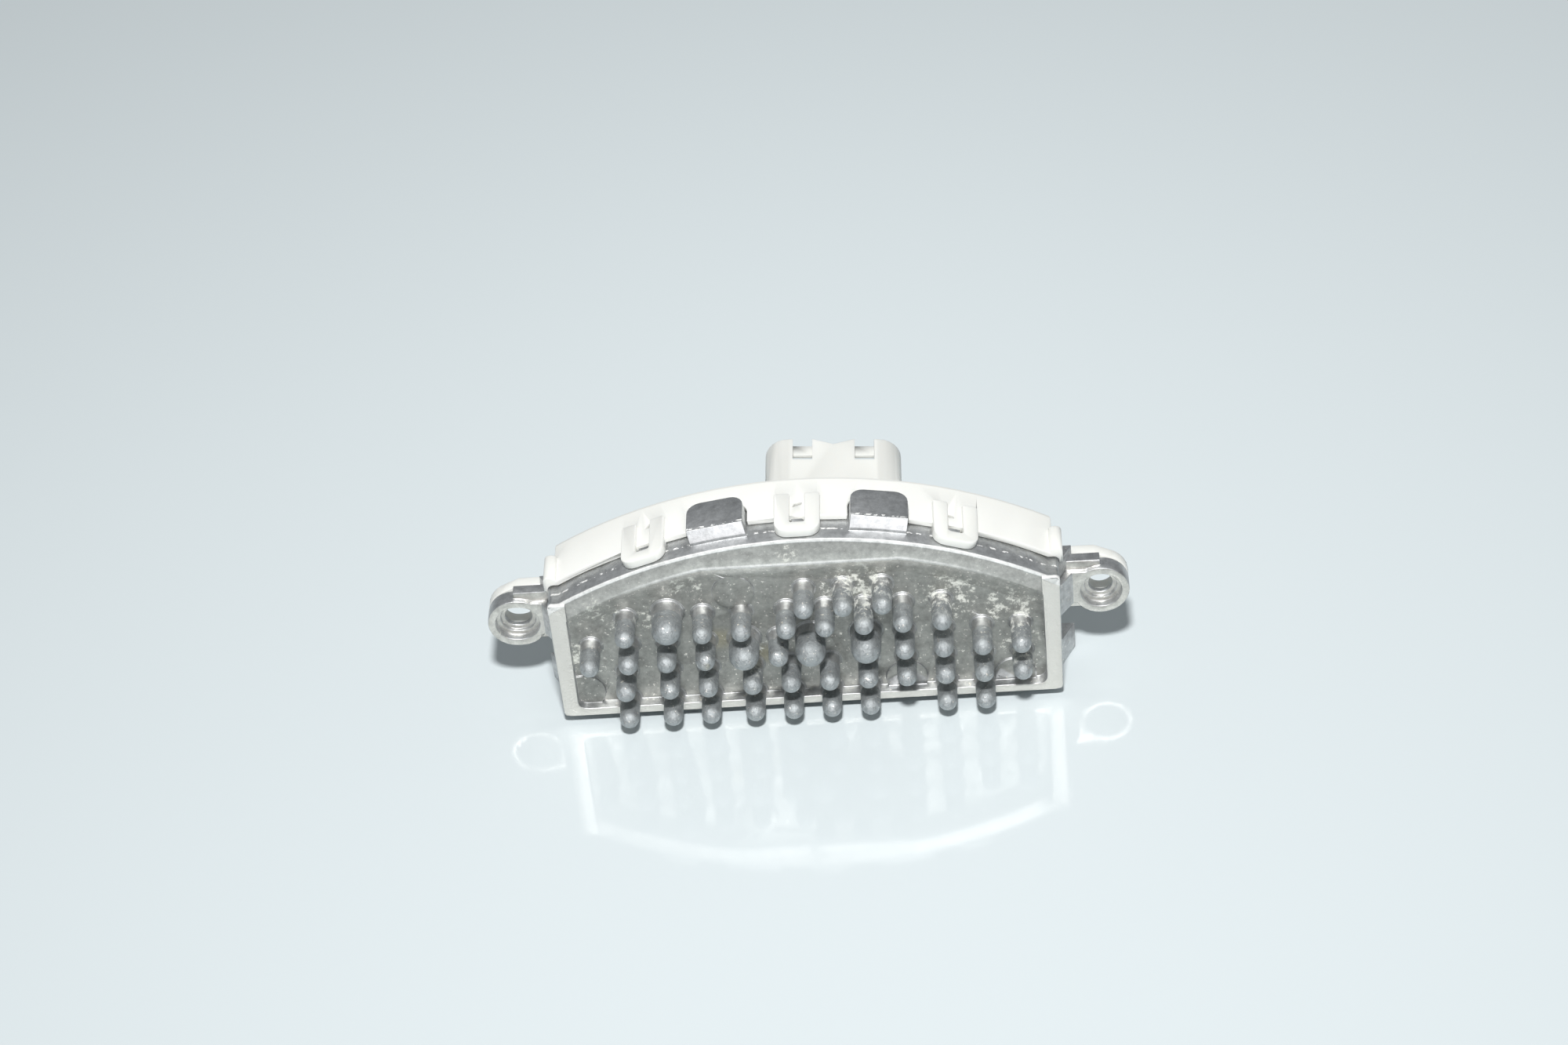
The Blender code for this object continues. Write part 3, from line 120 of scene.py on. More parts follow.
def makeCastAluminium():
    look = castAluminium
    material, tree, shader, place, normal = newMaterial("dieCastAluminium", Metallic=1)
    axes = addNode(tree, "ShaderNodeSeparateXYZ", inputs={"Vector": place}).outputs
    facing = addNode(tree, "ShaderNodeSeparateXYZ", inputs={"Vector": normal}).outputs
    flat = addNode(tree, "ShaderNodeVectorMath", {"operation": "MULTIPLY"}, {
        0: place, 1: (1, 0, 1)}).outputs["Vector"]
    fromCentre = addNode(tree, "ShaderNodeVectorMath", {"operation": "SUBTRACT"}, {
        0: flat, 1: (0, 0, look["arcCentre"])}).outputs["Vector"]
    reach = addNode(tree, "ShaderNodeVectorMath", {"operation": "LENGTH"}, {
        0: fromCentre}).outputs["Value"]

    noises = {}
    for name, size, detail, harshness in (
            ("cloud", look["cloudSize"], 4, 0.6), ("blotch", look["blotchSize"], 6, 0.72),
            ("grain", look["grainSize"], 3, 0.65), ("dashes", look["dashSize"], 2, 0.5),
            ("glints", look["glintSize"], 2, 0.6)):
        noises[name] = addNode(tree, "ShaderNodeTexNoise", inputs={
            "Vector": place, "Scale": 1 / size, "Detail": detail, "Roughness": harshness}).outputs["Fac"]

    spots = {}
    for name, patches in (("salted", look["saltPatches"]), ("stained", look["stains"])):
        spot = None
        for x, z, radius in patches:
            away = addNode(tree, "ShaderNodeVectorMath", {"operation": "DISTANCE"}, {
                0: flat, 1: (x, 0, z)}).outputs["Value"]
            near = addNode(tree, "ShaderNodeMapRange", {"interpolation_type": "SMOOTHSTEP"}, {
                "Value": away, "From Min": radius, "From Max": radius * 0.2}).outputs["Result"]
            spot = near if spot is None else addNode(
                tree, "ShaderNodeMath", {"operation": "MAXIMUM"}, {0: spot, 1: near}).outputs["Value"]
        spots[name] = spot
    saltHeight = addNode(tree, "ShaderNodeMath", {"operation": "MULTIPLY_ADD"}, {
        0: spots["salted"], 1: look["saltLift"], 2: noises["blotch"]}).outputs["Value"]

    overSide = addNode(tree, "ShaderNodeMath", {"operation": "SUBTRACT"}, {
        0: reach, 1: look["ridgeRadius"]}).outputs["Value"]
    overTop = addNode(tree, "ShaderNodeMath", {"operation": "SUBTRACT"}, {
        0: axes["Z"], 1: look["ridgeTop"]}).outputs["Value"]
    overRidge = addNode(tree, "ShaderNodeMath", {"operation": "MAXIMUM"}, {
        0: overSide, 1: overTop}).outputs["Value"]
    offRidge = addNode(tree, "ShaderNodeMath", {"operation": "ABSOLUTE"}, {0: overRidge}).outputs["Value"]
    sideways = addNode(tree, "ShaderNodeMath", {"operation": "ABSOLUTE"}, {0: axes["X"]}).outputs["Value"]
    # What each mask reads, and where it starts and is full: mm, a share of the normal, or a noise
    masks = dict(spots)
    for name, value, start, end in (
            ("front", facing["Y"], -0.8, -0.95), ("up", facing["Z"], 0.6, 0.85),
            ("rimDepth", axes["Y"], 0.35, 0.15), ("aboveRidge", overRidge, -0.3, 0.3),
            ("inPocket", reach, 85.5, 85.2), ("arcEdge", reach, 85.3, 85.6),
            ("edgeDepth", axes["Y"], 0.95, 0.6), ("aboveArc", reach, 86.5, 86.9),
            ("pin", axes["Y"], -0.1, -0.6), ("tip", axes["Y"], -3.6, -4.9),
            ("ear", axes["Y"], 9.4, 10.2), ("leftHalf", axes["X"], 1, -1),
            ("salt", saltHeight, 0.655, 0.75),
            ("dash", noises["dashes"], 0.5, 0.56), ("ridge", offRidge, 0.6, 0.2),
            ("slope", offRidge, 2.6, 0.3), ("glint", noises["glints"], 0.64, 0.7),
            ("middle", sideways, 40, 14), ("behindTips", axes["Y"], -5.5, 1.2)):
        masks[name] = addNode(tree, "ShaderNodeMapRange", {"interpolation_type": "SMOOTHSTEP"}, {
            "Value": value, "From Min": start, "From Max": end}).outputs["Result"]
    masks["parting"] = addNode(tree, "ShaderNodeMath", {"operation": "COMPARE"}, {
        0: axes["Y"], 1: look["partingLine"], 2: look["partingReach"]}).outputs["Value"]
    for name, first, second in (
            ("rim", "front", "rimDepth"), ("floor", "inPocket", "front"), ("band", "floor", "aboveRidge"),
            ("arcEdgeHighlight", "arcEdge", "edgeDepth"), ("tabFace", "front", "aboveArc"), ("ring", "front", "ear"),
            ("saltLow", "salt", "inPocket"), ("saltHere", "saltLow", "behindTips"),
            ("seam", "parting", "dash"), ("seamHere", "seam", "up"),
            ("roughTab", "tabFace", "leftHalf"), ("stain", "stained", "floor"),
            # painted highlights on the ridge and on the slope below it, strongest in the middle
            ("ridgeHighlight", "ridge", "middle"), ("slopeMiddle", "slope", "middle"),
            ("slopeHighlight", "slopeMiddle", "floor"), ("glintHere", "glint", "inPocket")):
        masks[name] = addNode(tree, "ShaderNodeMath", {"operation": "MULTIPLY"}, {
            0: masks[first], 1: masks[second]}).outputs["Value"]

    colour = addNode(tree, "ShaderNodeMix", {"data_type": "RGBA"}, {
        "Factor": noises["cloud"], "A": linear(look["skin"]), "B": linear(look["cloud"])}).outputs["Result"]
    rough = look["roughness"]
    # Among these, the arc's front edge, the ridge and the slope below it, the pin tips and the glints are
    # painted highlights; the glints take the rims' colour
    for mask, name, roughness in (   # each covers the ones before it
            ("floor", "pocket", 0.55), ("band", "band", 0.5), ("slopeHighlight", "slope", 0.5),
            ("rim", "rim", 0.42), ("arcEdgeHighlight", "edge", 0.55), ("tabFace", "tabFace", 0.5),
            ("ring", "ring", 0.42), ("pin", "pin", 0.74), ("tip", "tip", 0.68),
            ("ridgeHighlight", "edge", 0.5), ("stain", "stain", 0.6), ("glintHere", "rim", 0.4),
            ("saltHere", "salt", 0.8), ("seamHere", "edge", 0.6)):
        colour = addNode(tree, "ShaderNodeMix", {"data_type": "RGBA"}, {
            "Factor": masks[mask], "A": colour, "B": linear(look[name])}).outputs["Result"]
        rough = addNode(tree, "ShaderNodeMix", {"data_type": "FLOAT"}, {
            "Factor": masks[mask], "A": rough, "B": roughness}).outputs["Result"]
    worn = addNode(tree, "ShaderNodeMapRange", inputs={
        "Value": noises["blotch"], "From Min": 0.3, "From Max": 0.7,
        "To Min": look["wornShades"][0], "To Max": look["wornShades"][1]}).outputs["Result"]
    worn = addNode(tree, "ShaderNodeMix", {"data_type": "FLOAT"}, {
        "Factor": masks["rim"], "A": worn, "B": 1}).outputs["Result"]
    shade = addNode(tree, "ShaderNodeVectorMath", {"operation": "SCALE"}, {
        0: colour, "Scale": worn}).outputs["Vector"]
    tree.links.new(shade, shader.inputs["Base Color"])
    tree.links.new(rough, shader.inputs["Roughness"])
    metallic = 1   # salt, rough faces of the tabs, the parting dashes and the painted highlights on the arc's edge and the ridge scatter light as a dull surface does
    for mask, share in (("saltHere", -0.7), ("tabFace", -0.9), ("arcEdgeHighlight", -0.75), ("ridgeHighlight", -0.8),
                        ("seamHere", -0.7)):
        metallic = addNode(tree, "ShaderNodeMath", {"operation": "MULTIPLY_ADD"}, {
            0: masks[mask], 1: share, 2: metallic}).outputs["Value"]
    tree.links.new(metallic, shader.inputs["Metallic"])

    rise = noises["grain"]   # deeper by each share
    for mask, share in (("roughTab", 1.6), ("arcEdgeHighlight", 1.4), ("saltHere", 1.2), ("floor", 0.3),
                        ("pin", 3.2), ("rim", 2)):
        amount = addNode(tree, "ShaderNodeMath", {"operation": "MULTIPLY_ADD"}, {
            0: masks[mask], 1: share, 2: 1}).outputs["Value"]
        rise = addNode(tree, "ShaderNodeMath", {"operation": "MULTIPLY"}, {
            0: rise, 1: amount}).outputs["Value"]
    bump = addNode(tree, "ShaderNodeBump", inputs={
        "Strength": look["bumpStrength"], "Distance": look["grainDepth"] * mm, "Height": rise})
    tree.links.new(bump.outputs["Normal"], shader.inputs["Normal"])
    return material


# Glass-filled white nylon, injection moulded in a finely eroded tool: a near-white, satin wall
# that scatters the light softly, with a grain that is only felt
whiteNylon = {
    "colour": "#f1f1ec",
    "cloud": "#ecece6",
    "cloudSize": 14.0,      # mm
    "grainSize": 0.5,       # mm
    "grainDepth": 0.012,    # mm
}


def makeWhiteNylon():
    look = whiteNylon
    material, tree, shader, place, normal = newMaterial(
        "mouldedNylon", Roughness=0.42, IOR=1.53, Subsurface_Weight=0.3, Subsurface_Scale=1.5 * mm,
        Subsurface_Radius=(1, 0.95, 0.9))
    cloud = addNode(tree, "ShaderNodeTexNoise", inputs={
        "Vector": place, "Scale": 1 / look["cloudSize"], "Detail": 3})
    colour = addNode(tree, "ShaderNodeMix", {"data_type": "RGBA"}, {
        "Factor": cloud.outputs["Fac"], "A": linear(look["colour"]), "B": linear(look["cloud"])})
    grain = addNode(tree, "ShaderNodeTexNoise", inputs={
        "Vector": place, "Scale": 1 / look["grainSize"], "Detail": 2})
    gloss = addNode(tree, "ShaderNodeMapRange", inputs={
        "Value": grain.outputs["Fac"], "To Min": 0.38, "To Max": 0.48})
    bump = addNode(tree, "ShaderNodeBump", inputs={
        "Strength": 0.5, "Distance": look["grainDepth"] * mm, "Height": grain.outputs["Fac"]})
    tree.links.new(colour.outputs["Result"], shader.inputs["Base Color"])
    tree.links.new(gloss.outputs["Result"], shader.inputs["Roughness"])
    tree.links.new(bump.outputs["Normal"], shader.inputs["Normal"])
    return material


print("stage: materials of casting and cover")
castMetal = makeCastAluminium()
nylon = makeWhiteNylon()


def newPiece(shape, pieceName, material):   # piece that rides on the part
    mesh = bpy.data.meshes.new(pieceName)
    shape.to_mesh(mesh)
    shape.free()
    mesh.materials.append(material)
    piece = bpy.data.objects.new(pieceName, mesh)
    bpy.context.scene.collection.objects.link(piece)
    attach(piece, root)
    return piece


softEdges = {
    "merge": 0.002,        # mm
    "flatAngle": 0.5,      # degrees, under which two faces are made one
    "sharpAngle": 35,      # degrees, over which an edge is broken
    "creaseAngle": 7,      # degrees, over which an edge between plain faces is shaded sharp
    "plainFace": 2,        # mm2, the least area of a plain face
    "fullRoom": 2.4,       # widths that a full bevel needs to the next edge
    "aside": 0.7,          # share of that distance that may lie along the edge
    "corner": 0.75,        # cosine, under which two edges that meet make a corner
    "endRoom": 1.2,        # lengths of its own that count as room where an edge has a corner
    "segments": 2,
}


# Full bevel on a sharp edge, less where another one runs close by, none under the least share
def weighEdges(shape, width, least):
    fullRoom = softEdges["fullRoom"] * width
    sharpAngle, creaseAngle = radians(softEdges["sharpAngle"]), radians(softEdges["creaseAngle"])
    weights = shape.edges.layers.float.new("bevel_weight_edge")
    sharp = [edge for edge in shape.edges if edge.is_manifold and edge.calc_face_angle() > sharpAngle]
    along = {edge: (edge.verts[1].co - edge.verts[0].co).normalized() for edge in sharp}
    points = []
    for edge in sharp:
        count = int(edge.calc_length() / width) + 1
        points += [(edge, edge.verts[0].co.lerp(edge.verts[1].co, step / count))
                   for step in range(count + 1)]
    near = kdtree.KDTree(len(points))
    for index, (edge, point) in enumerate(points):
        near.insert(point, index)
    near.balance()
    room = dict.fromkeys(sharp, fullRoom)
    for edge, point in points:
        for place, index, distance in near.find_range(point, fullRoom):
            other = points[index][0]
            drift = abs((place - point).dot(along[edge]))
            aside = distance > 0 and drift < softEdges["aside"] * distance
            if aside and not set(other.verts) & set(edge.verts):
                room[edge] = min(room[edge], distance)
    for edge in sharp:
        for vert in edge.verts:
            others = [other for other in vert.link_edges if other in along and other is not edge]
            if any(abs(along[other].dot(along[edge])) < softEdges["corner"] for other in others):
                room[edge] = min(room[edge], softEdges["endRoom"] * edge.calc_length())
        weight = min(1, room[edge] / fullRoom)
        edge[weights] = weight if weight > least else 0
        edge.smooth = weight > least
    for edge in shape.edges:   # a crease between two plain faces
        if edge.is_manifold and edge not in along and edge.calc_face_angle() > creaseAngle:
            smallest = min(face.calc_area() for face in edge.link_faces)
            edge.smooth = smallest < softEdges["plainFace"] * mm ** 2


# The node's shape with broken edges. Notched faces behind a depth, in m, are split first, because
# the bevel leaves them bent.
def softEdged(nodeName, pieceName, material, edgeWidth, splitBehind=1, least=0.2):
    shape = bmesh.new()
    shape.from_mesh(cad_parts[nodeName].data)
    bmesh.ops.remove_doubles(shape, verts=shape.verts, dist=softEdges["merge"] * mm)
    bmesh.ops.dissolve_limit(
        shape, angle_limit=radians(softEdges["flatAngle"]), verts=shape.verts, edges=shape.edges)
    notched = [face for face in shape.faces if face.calc_center_median().y > splitBehind]
    bmesh.ops.connect_verts_concave(shape, faces=notched)
    for face in shape.faces:
        face.smooth = True
    weighEdges(shape, edgeWidth, least)
    piece = newPiece(shape, pieceName, material)
    edges = piece.modifiers.new("softEdges", "BEVEL")
    edges.width = edgeWidth
    edges.segments = softEdges["segments"]
    edges.limit_method = "WEIGHT"
    edges.use_clamp_overlap = False
    edges.harden_normals = True
    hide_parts(nodeName)


print("stage: casting and cover")
everywhere = -1   # m, a depth in front of the whole part
socketOnly = 5 * mm
softEdged("heat_sink", "castingBody", castMetal, 0.15 * mm, everywhere)
softEdged("housing", "coverBody", nylon, 0.14 * mm, socketOnly, 0.35)

# Round pins of the casting: the model's have twelve flat sides, these close over them
pins = {
    "radius": 1.72,         # mm at the tip
    "largeRadius": 2.65,
    "taper": 0.1,           # mm more radius at the root
    "tipDepth": -5.4,       # mm, in front of the rim
    "floorDepth": 2.1,
    "fillet": 0.45,
    "rootDepth": 0.3,       # mm behind the floor, where the closed root is hidden in the casting
    "skin": 0.02,           # mm outside the model's pins
    "steps": 32,
    "domeRings": 9,
    "filletRings": 4,
    "rowPitch": 6.25,
    "firstRow": 1.95,
    "upperRow": 25.1,
    "columnPitch": 6.85,
    "leftColumns": -11.2,
    "centreColumns": -3.3,
    "leftShift": 1,         # mm that the two lower pins of a left column stand further out
    "centreShift": 1.8,     # mm that one pin stands left of its centre column
    "largeShift": 0.6,      # mm that two large pins stand right of their columns
    "largeRow": 3.1,        # row of the large pin at the upper left
    "upperStart": 0.1,      # mm, the first of the three pins at the top
    "upperPitch": 6.9,
}


def pinPlaces():   # x, z and radius of each pin, column by column
    left, centre, pitch = pins["leftColumns"], pins["centreColumns"], pins["columnPitch"]
    columns = (
        (left - 4 * pitch, (2,)), (left - 3 * pitch, (2, 3)),
        (left - 3 * pitch - pins["leftShift"], (0, 1)),
        (left - 2 * pitch, (0, 1, 2)), (left - pitch, (0, 1, 2, 3)), (left, (3,)),
        (centre - pitch, (0, 1)), (centre, (0, 1, 3)), (centre - pins["centreShift"], (2,)),
        (centre + pitch, (0, 1, 3)), (centre + 2 * pitch, (0, 1, 3)), (centre + 3 * pitch, (1, 2, 3)),
        (centre + 4 * pitch, (0, 1, 2, 3)), (centre + 5 * pitch, (0, 1, 2)), (centre + 6 * pitch, (1, 2)))
    large = ((left - 2 * pitch + pins["largeShift"], pins["largeRow"]), (left, 2),
             (pins["largeShift"], 2), (centre + 2 * pitch, 2))
    places = [(x, pins["firstRow"] + row * pins["rowPitch"], pins["radius"])
              for x, rows in columns for row in rows]
    places += [(x, pins["firstRow"] + row * pins["rowPitch"], pins["largeRadius"]) for x, row in large]
    return places + [(pins["upperStart"] + index * pins["upperPitch"], pins["upperRow"], pins["radius"])
                     for index in range(3)]


def makePins():
    shape = bmesh.new()
    behindFloor = pins["floorDepth"] + pins["rootDepth"]
    for x, z, tipRadius in pinPlaces():
        radius = tipRadius + pins["skin"]
        rootRadius = radius + pins["taper"]
        fillet = pins["fillet"]
        profile = []
        for ring in range(pins["domeRings"] + 1):
            turn = pi / 2 * ring / pins["domeRings"]
            profile.append((radius * sin(turn), pins["tipDepth"] - pins["skin"] + radius * (1 - cos(turn))))
        for ring in range(pins["filletRings"] + 1):
            turn = pi / 2 * ring / pins["filletRings"]
            profile.append((rootRadius + fillet * (1 - cos(turn)),
                            pins["floorDepth"] - fillet * (1 - sin(turn))))
        profile += [(rootRadius + fillet, behindFloor), (0, behindFloor)]
        axis = (modelOrigin + Vector((x, 0, z))) * mm
        verts = [shape.verts.new(axis + Vector((across, depth, 0)) * mm) for across, depth in profile]
        edges = [shape.edges.new(pair) for pair in zip(verts, verts[1:])]
        bmesh.ops.spin(shape, geom=verts + edges, cent=axis, axis=(0, 1, 0), dvec=(0, 0, 0),
                       angle=2 * pi, steps=pins["steps"], use_merge=True, use_duplicate=False)
    bmesh.ops.remove_doubles(shape, verts=shape.verts, dist=softEdges["merge"] * mm)
    bmesh.ops.recalc_face_normals(shape, faces=shape.faces)
    for face in shape.faces:
        face.smooth = True
    newPiece(shape, "castingPins", castMetal)


print("stage: pins")
makePins()

# What is inside and in the socket. Each finish: two colours that it is mottled with, the size in mm
# of its grain (and how far that is drawn out along an axis) and the depth of its relief in mm.
innerFinishes = {
    # Brass strip, stamped and tin plated: pale, softly bright, with faint rolling lines
    "tinPlatedBrass": {"nodes": ("power_terminal_left", "power_terminal_right", "signal_terminal_left",
                                 "signal_terminal_right"),
                       "colours": ("#dcd9cf", "#c4c0b4"), "Metallic": 1, "roughness": (0.24, 0.38),
                       "grain": 0.3, "stretch": (1, 0.08, 1), "relief": 0.004},
    # Steel, headed and zinc plated with a clear chromate: cool grey with a bluish cloud
    "zincPlatedSteel": {"nodes": ("board_screw_1", "board_screw_2", "board_screw_3", "clamp_screw"),
                        "colours": ("#c3c7cc", "#aeb4bf"), "Metallic": 1, "roughness": (0.28, 0.42),
                        "grain": 1.2, "stretch": (1, 1, 1), "relief": 0.006},
    # Spring steel strip, rolled: darker, with lines along the rolling
    "springSteel": {"nodes": ("transistor_clamp",),
                    "colours": ("#a9abae", "#8f9296"), "Metallic": 1, "roughness": (0.25, 0.4),
                    "grain": 0.25, "stretch": (0.06, 1, 1), "relief": 0.004},
    # Epoxy moulding compound with silica: dull black, finely eroded
    "epoxyMoulding": {"nodes": ("power_transistor_left", "power_transistor_right", "control_chip",
                                "driver_chip", "suppressor_diode"),
                      "colours": ("#222325", "#191a1b"), "Metallic": 0, "roughness": (0.5, 0.66),
                      "grain": 0.2, "stretch": (1, 1, 1), "relief": 0.01, "IOR": 1.55},
    # Thick-film resistors: black glassy print on a ceramic chip
    "resistorGlaze": {"nodes": ("chip_resistor_1", "chip_resistor_2"),
                      "colours": ("#1c1d20", "#26272b"), "Metallic": 0, "roughness": (0.2, 0.34),
                      "grain": 0.6, "stretch": (1, 1, 1), "relief": 0.003, "IOR": 1.52},
    # Barium titanate chips, fired: tan, matt
    "firedCeramic": {"nodes": ("chip_capacitor_1", "chip_capacitor_2"),
                     "colours": ("#9c8563", "#8b7555"), "Metallic": 0, "roughness": (0.45, 0.6),
                     "grain": 0.25, "stretch": (1, 1, 1), "relief": 0.006, "IOR": 1.6},
    # Butyl rubber bung, moulded: deep grey-black, soft sheen
    "butylRubber": {"nodes": ("capacitor_bung",),
                    "colours": ("#262626", "#1d1d1d"), "Metallic": 0, "roughness": (0.62, 0.78),
                    "grain": 0.4, "stretch": (1, 1, 1), "relief": 0.012, "IOR": 1.5},
    # Filled silicone sheet: bluish grey, matt, slightly speckled
    "siliconePad": {"nodes": ("thermal_pad_left", "thermal_pad_right"),
                    "colours": ("#a2a8b6", "#9299a8"), "Metallic": 0, "roughness": (0.68, 0.8),
                    "grain": 0.3, "stretch": (1, 1, 1), "relief": 0.01, "IOR": 1.41},
    # Aluminium can, deep drawn: bright, with lines along the drawing
    "drawnAluminium": {"nodes": ("capacitor_can",),
                       "colours": ("#d3d5d9", "#bfc2c8"), "Metallic": 1, "roughness": (0.22, 0.36),
                       "grain": 0.25, "stretch": (0.06, 1, 1), "relief": 0.004},
    # Manganese-zinc ferrite, pressed and sintered: charcoal, slightly glittering
    "sinteredFerrite": {"nodes": ("choke_core",),
                        "colours": ("#38383c", "#2a2a2e"), "Metallic": 0, "roughness": (0.42, 0.6),
                        "grain": 0.25, "stretch": (1, 1, 1), "relief": 0.012, "IOR": 2.2},
    # Enamelled copper wire, wound: warm, under a clear lacquer
    "enamelledCopper": {"nodes": ("choke_winding",),
                        "colours": ("#c2703a", "#a9582b"), "Metallic": 1, "roughness": (0.24, 0.36),
                        "grain": 0.8, "stretch": (1, 1, 1), "relief": 0.004, "Coat_Weight": 0.7},
    # Copper-nickel strip, rolled and bent: dull pinkish metal
    "resistanceStrip": {"nodes": ("shunt_resistor",),
                        "colours": ("#c08f74", "#a97a61"), "Metallic": 1, "roughness": (0.3, 0.44),
                        "grain": 0.3, "stretch": (0.1, 1, 1), "relief": 0.004},
}


innerCloudSize = 4   # mm


def makeInnerFinish(name, look):
    extra = {key: look[key] for key in ("Metallic", "IOR", "Coat_Weight") if key in look}
    material, tree, shader, place, normal = newMaterial(name, **extra)
    drawn = addNode(tree, "ShaderNodeMapping", inputs={"Vector": place, "Scale": look["stretch"]})
    grain = addNode(tree, "ShaderNodeTexNoise", inputs={
        "Vector": drawn.outputs["Vector"], "Scale": 1 / look["grain"], "Detail": 4, "Roughness": 0.6})
    cloud = addNode(tree, "ShaderNodeTexNoise", inputs={
        "Vector": place, "Scale": 1 / innerCloudSize, "Detail": 3})
    mottle = addNode(tree, "ShaderNodeMath", {"operation": "MULTIPLY"}, {
        0: grain.outputs["Fac"], 1: cloud.outputs["Fac"]})
    share = addNode(tree, "ShaderNodeMapRange", inputs={
        "Value": mottle.outputs["Value"], "From Min": 0.12, "From Max": 0.4})
    colour = addNode(tree, "ShaderNodeMix", {"data_type": "RGBA"}, {
        "Factor": share.outputs["Result"], "A": linear(look["colours"][0]), "B": linear(look["colours"][1])})
    gloss = addNode(tree, "ShaderNodeMapRange", inputs={
        "Value": grain.outputs["Fac"], "To Min": look["roughness"][0], "To Max": look["roughness"][1]})
    bump = addNode(tree, "ShaderNodeBump", inputs={
        "Strength": 0.6, "Distance": look["relief"] * mm, "Height": grain.outputs["Fac"]})
    tree.links.new(colour.outputs["Result"], shader.inputs["Base Color"])
    tree.links.new(gloss.outputs["Result"], shader.inputs["Roughness"])
    tree.links.new(bump.outputs["Normal"], shader.inputs["Normal"])
    return material


# Glass-epoxy board, laminated, etched and lacquered green: a fine weave under a glossy film, with
# lighter green where copper lies under the lacquer
boardLaminate = {
    "lacquer": "#1d5a36",
    "overCopper": "#2f7a4b",
    "weavePitch": 0.25,      # mm between the threads of the glass cloth
    "trackSize": 5.0,        # mm
}


def makeBoardLaminate():
    look = boardLaminate
    material, tree, shader, place, normal = newMaterial(
        "lacqueredGlassEpoxy", Roughness=0.32, IOR=1.55, Coat_Weight=0.4)
    tracks = addNode(tree, "ShaderNodeTexVoronoi", {"distance": "CHEBYCHEV"}, {
        "Vector": place, "Scale": 1 / look["trackSize"]})
    copper = addNode(tree, "ShaderNodeMapRange", inputs={
        "Value": tracks.outputs["Distance"], "From Min": 0.36, "From Max": 0.38})
    colour = addNode(tree, "ShaderNodeMix", {"data_type": "RGBA"}, {
        "Factor": copper.outputs["Result"], "A": linear(look["overCopper"]), "B": linear(look["lacquer"])})
    weave = None
    for direction in ("X", "Z"):   # a wave texture of scale 1 repeats every pi / 10
        threads = addNode(tree, "ShaderNodeTexWave", {"bands_direction": direction}, {
            "Vector": place, "Scale": pi / 10 / look["weavePitch"]})
        weave = threads.outputs["Fac"] if weave is None else addNode(
            tree, "ShaderNodeMath", {"operation": "MAXIMUM"}, {
                0: weave, 1: threads.outputs["Fac"]}).outputs["Value"]
    bump = addNode(tree, "ShaderNodeBump", inputs={
        "Strength": 0.5, "Distance": 0.01 * mm, "Height": weave})
    tree.links.new(colour.outputs["Result"], shader.inputs["Base Color"])
    tree.links.new(bump.outputs["Normal"], shader.inputs["Normal"])
    return material


print("stage: inner parts")
socketFinish = "tinPlatedBrass"
for finishName, look in innerFinishes.items():
    finish = makeInnerFinish(finishName, look)
    for nodeName in look["nodes"]:
        if finishName == socketFinish:
            softEdged(nodeName, nodeName.replace("terminal", "blade"), finish, 0.08 * mm)
        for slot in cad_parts[nodeName].material_slots:
            slot.material = finish
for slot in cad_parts["circuit_board"].material_slots:
    slot.material = makeBoardLaminate()
softEdged("terminal_carrier", "bladeCarrier", nylon, 0.12 * mm)

studio = {
    "floor": "#dae2e4",
    "floorReach": 3,         # m from its middle
    "floorRoughness": 0.07,
    "keyPower": 3.25,        # W
    "keySize": 0.1,          # m across
    "keySpread": 110,        # degrees
    "keyDistance": 0.95,     # m
    "keyHeight": 61,         # degrees above the floor
    "keyTurn": 4,            # degrees to the right of straight ahead
    "aimBehind": 0.12,       # m behind the part, so that the light falls off towards the viewer
    "worldGrey": "#b4b8bb",
    "worldStrength": 0.55,
}


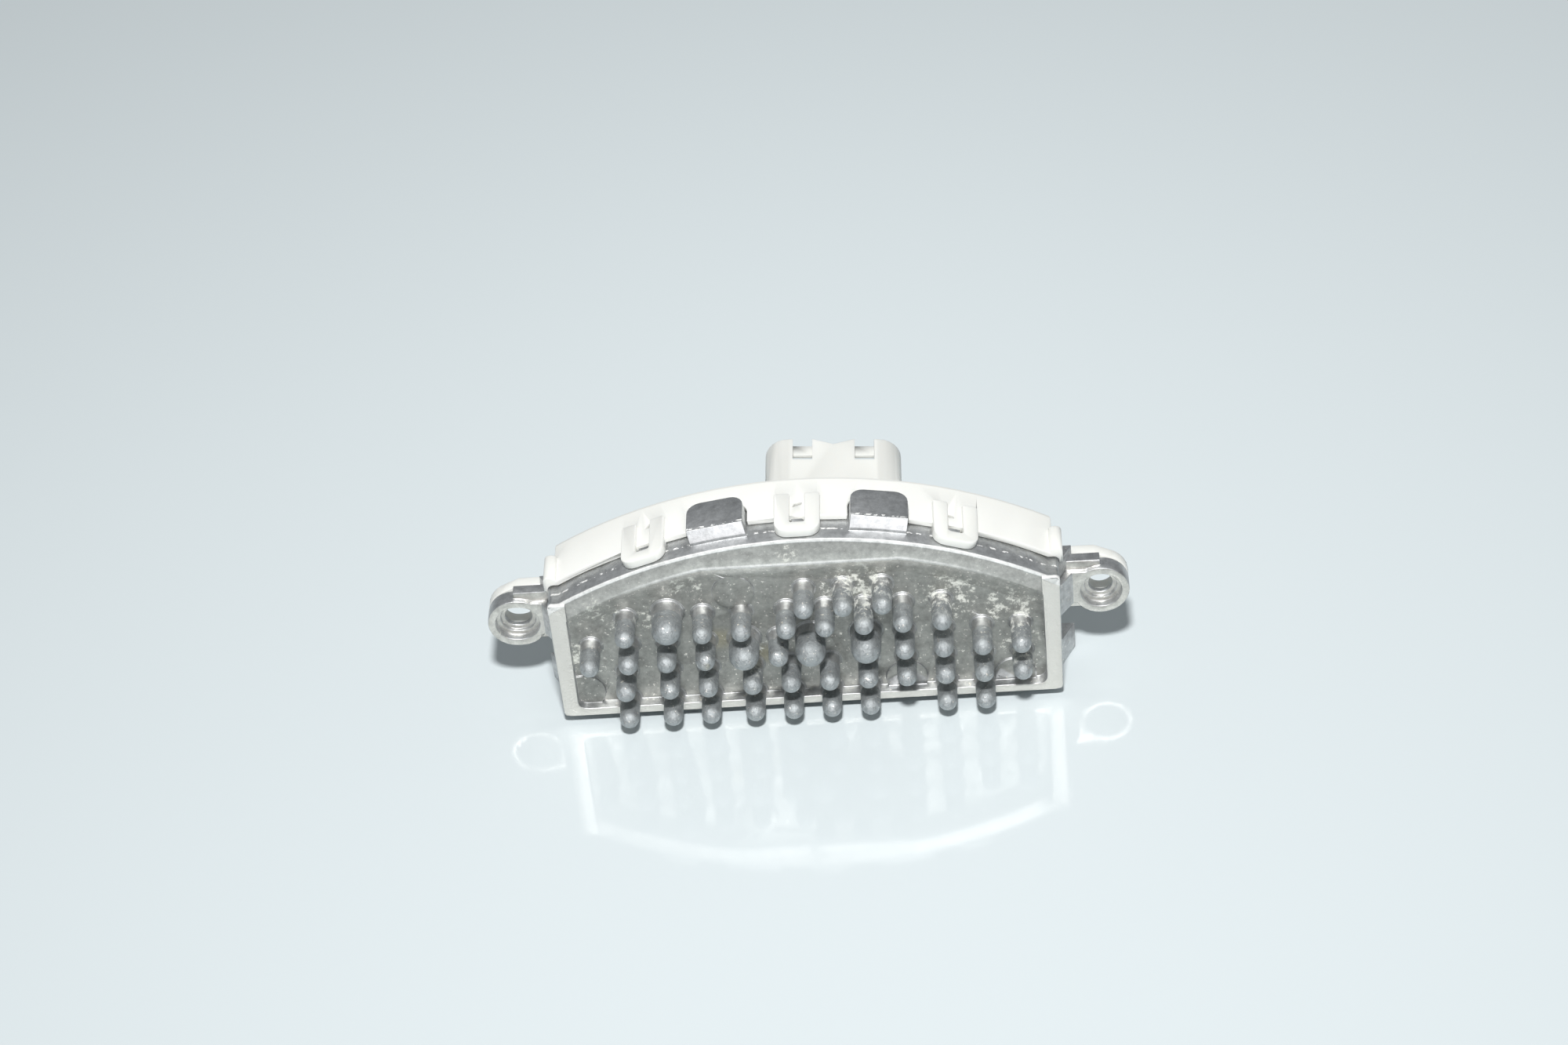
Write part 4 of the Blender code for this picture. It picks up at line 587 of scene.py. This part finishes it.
def makeFloor():
    shape = bmesh.new()
    bmesh.ops.create_grid(shape, x_segments=1, y_segments=1, size=studio["floorReach"])
    mesh = bpy.data.meshes.new("studioFloor")
    shape.to_mesh(mesh)
    shape.free()
    floor = bpy.data.objects.new("studioFloor", mesh)
    bpy.context.scene.collection.objects.link(floor)
    # Laminate on a worktop: smooth and pale, it mirrors the part faintly
    material, tree, shader, place, normal = newMaterial(
        "laminateFloor", Base_Color=linear(studio["floor"]), Roughness=studio["floorRoughness"])
    mesh.materials.append(material)


def makeLight():
    key = bpy.data.lights.new("key", "AREA")
    key.shape = "DISK"
    key.size = studio["keySize"]
    key.energy = studio["keyPower"]
    key.spread = radians(studio["keySpread"])
    lamp = bpy.data.objects.new("key", key)
    height, turn = radians(studio["keyHeight"]), radians(studio["keyTurn"])
    direction = Vector((sin(turn) * cos(height), -cos(turn) * cos(height), sin(height)))
    lamp.location = direction * studio["keyDistance"]
    aim = Vector((0, studio["aimBehind"], 0))
    lamp.rotation_euler = (lamp.location - aim).to_track_quat("Z", "Y").to_euler()
    bpy.context.scene.collection.objects.link(lamp)
    world = bpy.data.worlds.new("studio")
    world.use_nodes = True
    background = world.node_tree.nodes["Background"]
    background.inputs["Color"].default_value = linear(studio["worldGrey"])
    background.inputs["Strength"].default_value = studio["worldStrength"]
    bpy.context.scene.world = world


view = {
    "lens": 93.864,          # mm on a 36 mm wide sensor
    "place": (35.612, -563.633, 487.417),   # mm
    "turn": 3.9215,          # degrees to the left of straight ahead
    "down": 38.9245,         # degrees below level
    "roll": -5.8236,         # degrees
    "nearest": 0.01,         # m that the camera sees
}


def makeCamera():
    data = bpy.data.cameras.new("view")
    data.lens = view["lens"]
    data.sensor_width = 36
    data.clip_start = view["nearest"]
    camera = bpy.data.objects.new("view", data)
    turn = Matrix.Rotation(radians(view["turn"]), 4, "Z")
    tilt = Matrix.Rotation(radians(90 - view["down"]), 4, "X")
    roll = Matrix.Rotation(radians(view["roll"]), 4, "Z")
    camera.matrix_world = Matrix.Translation(Vector(view["place"]) * mm) @ turn @ tilt @ roll
    bpy.context.scene.collection.objects.link(camera)
    bpy.context.scene.camera = camera


print("stage: studio")
makeFloor()
makeLight()
makeCamera()
bpy.context.scene.view_settings.view_transform = "Standard"
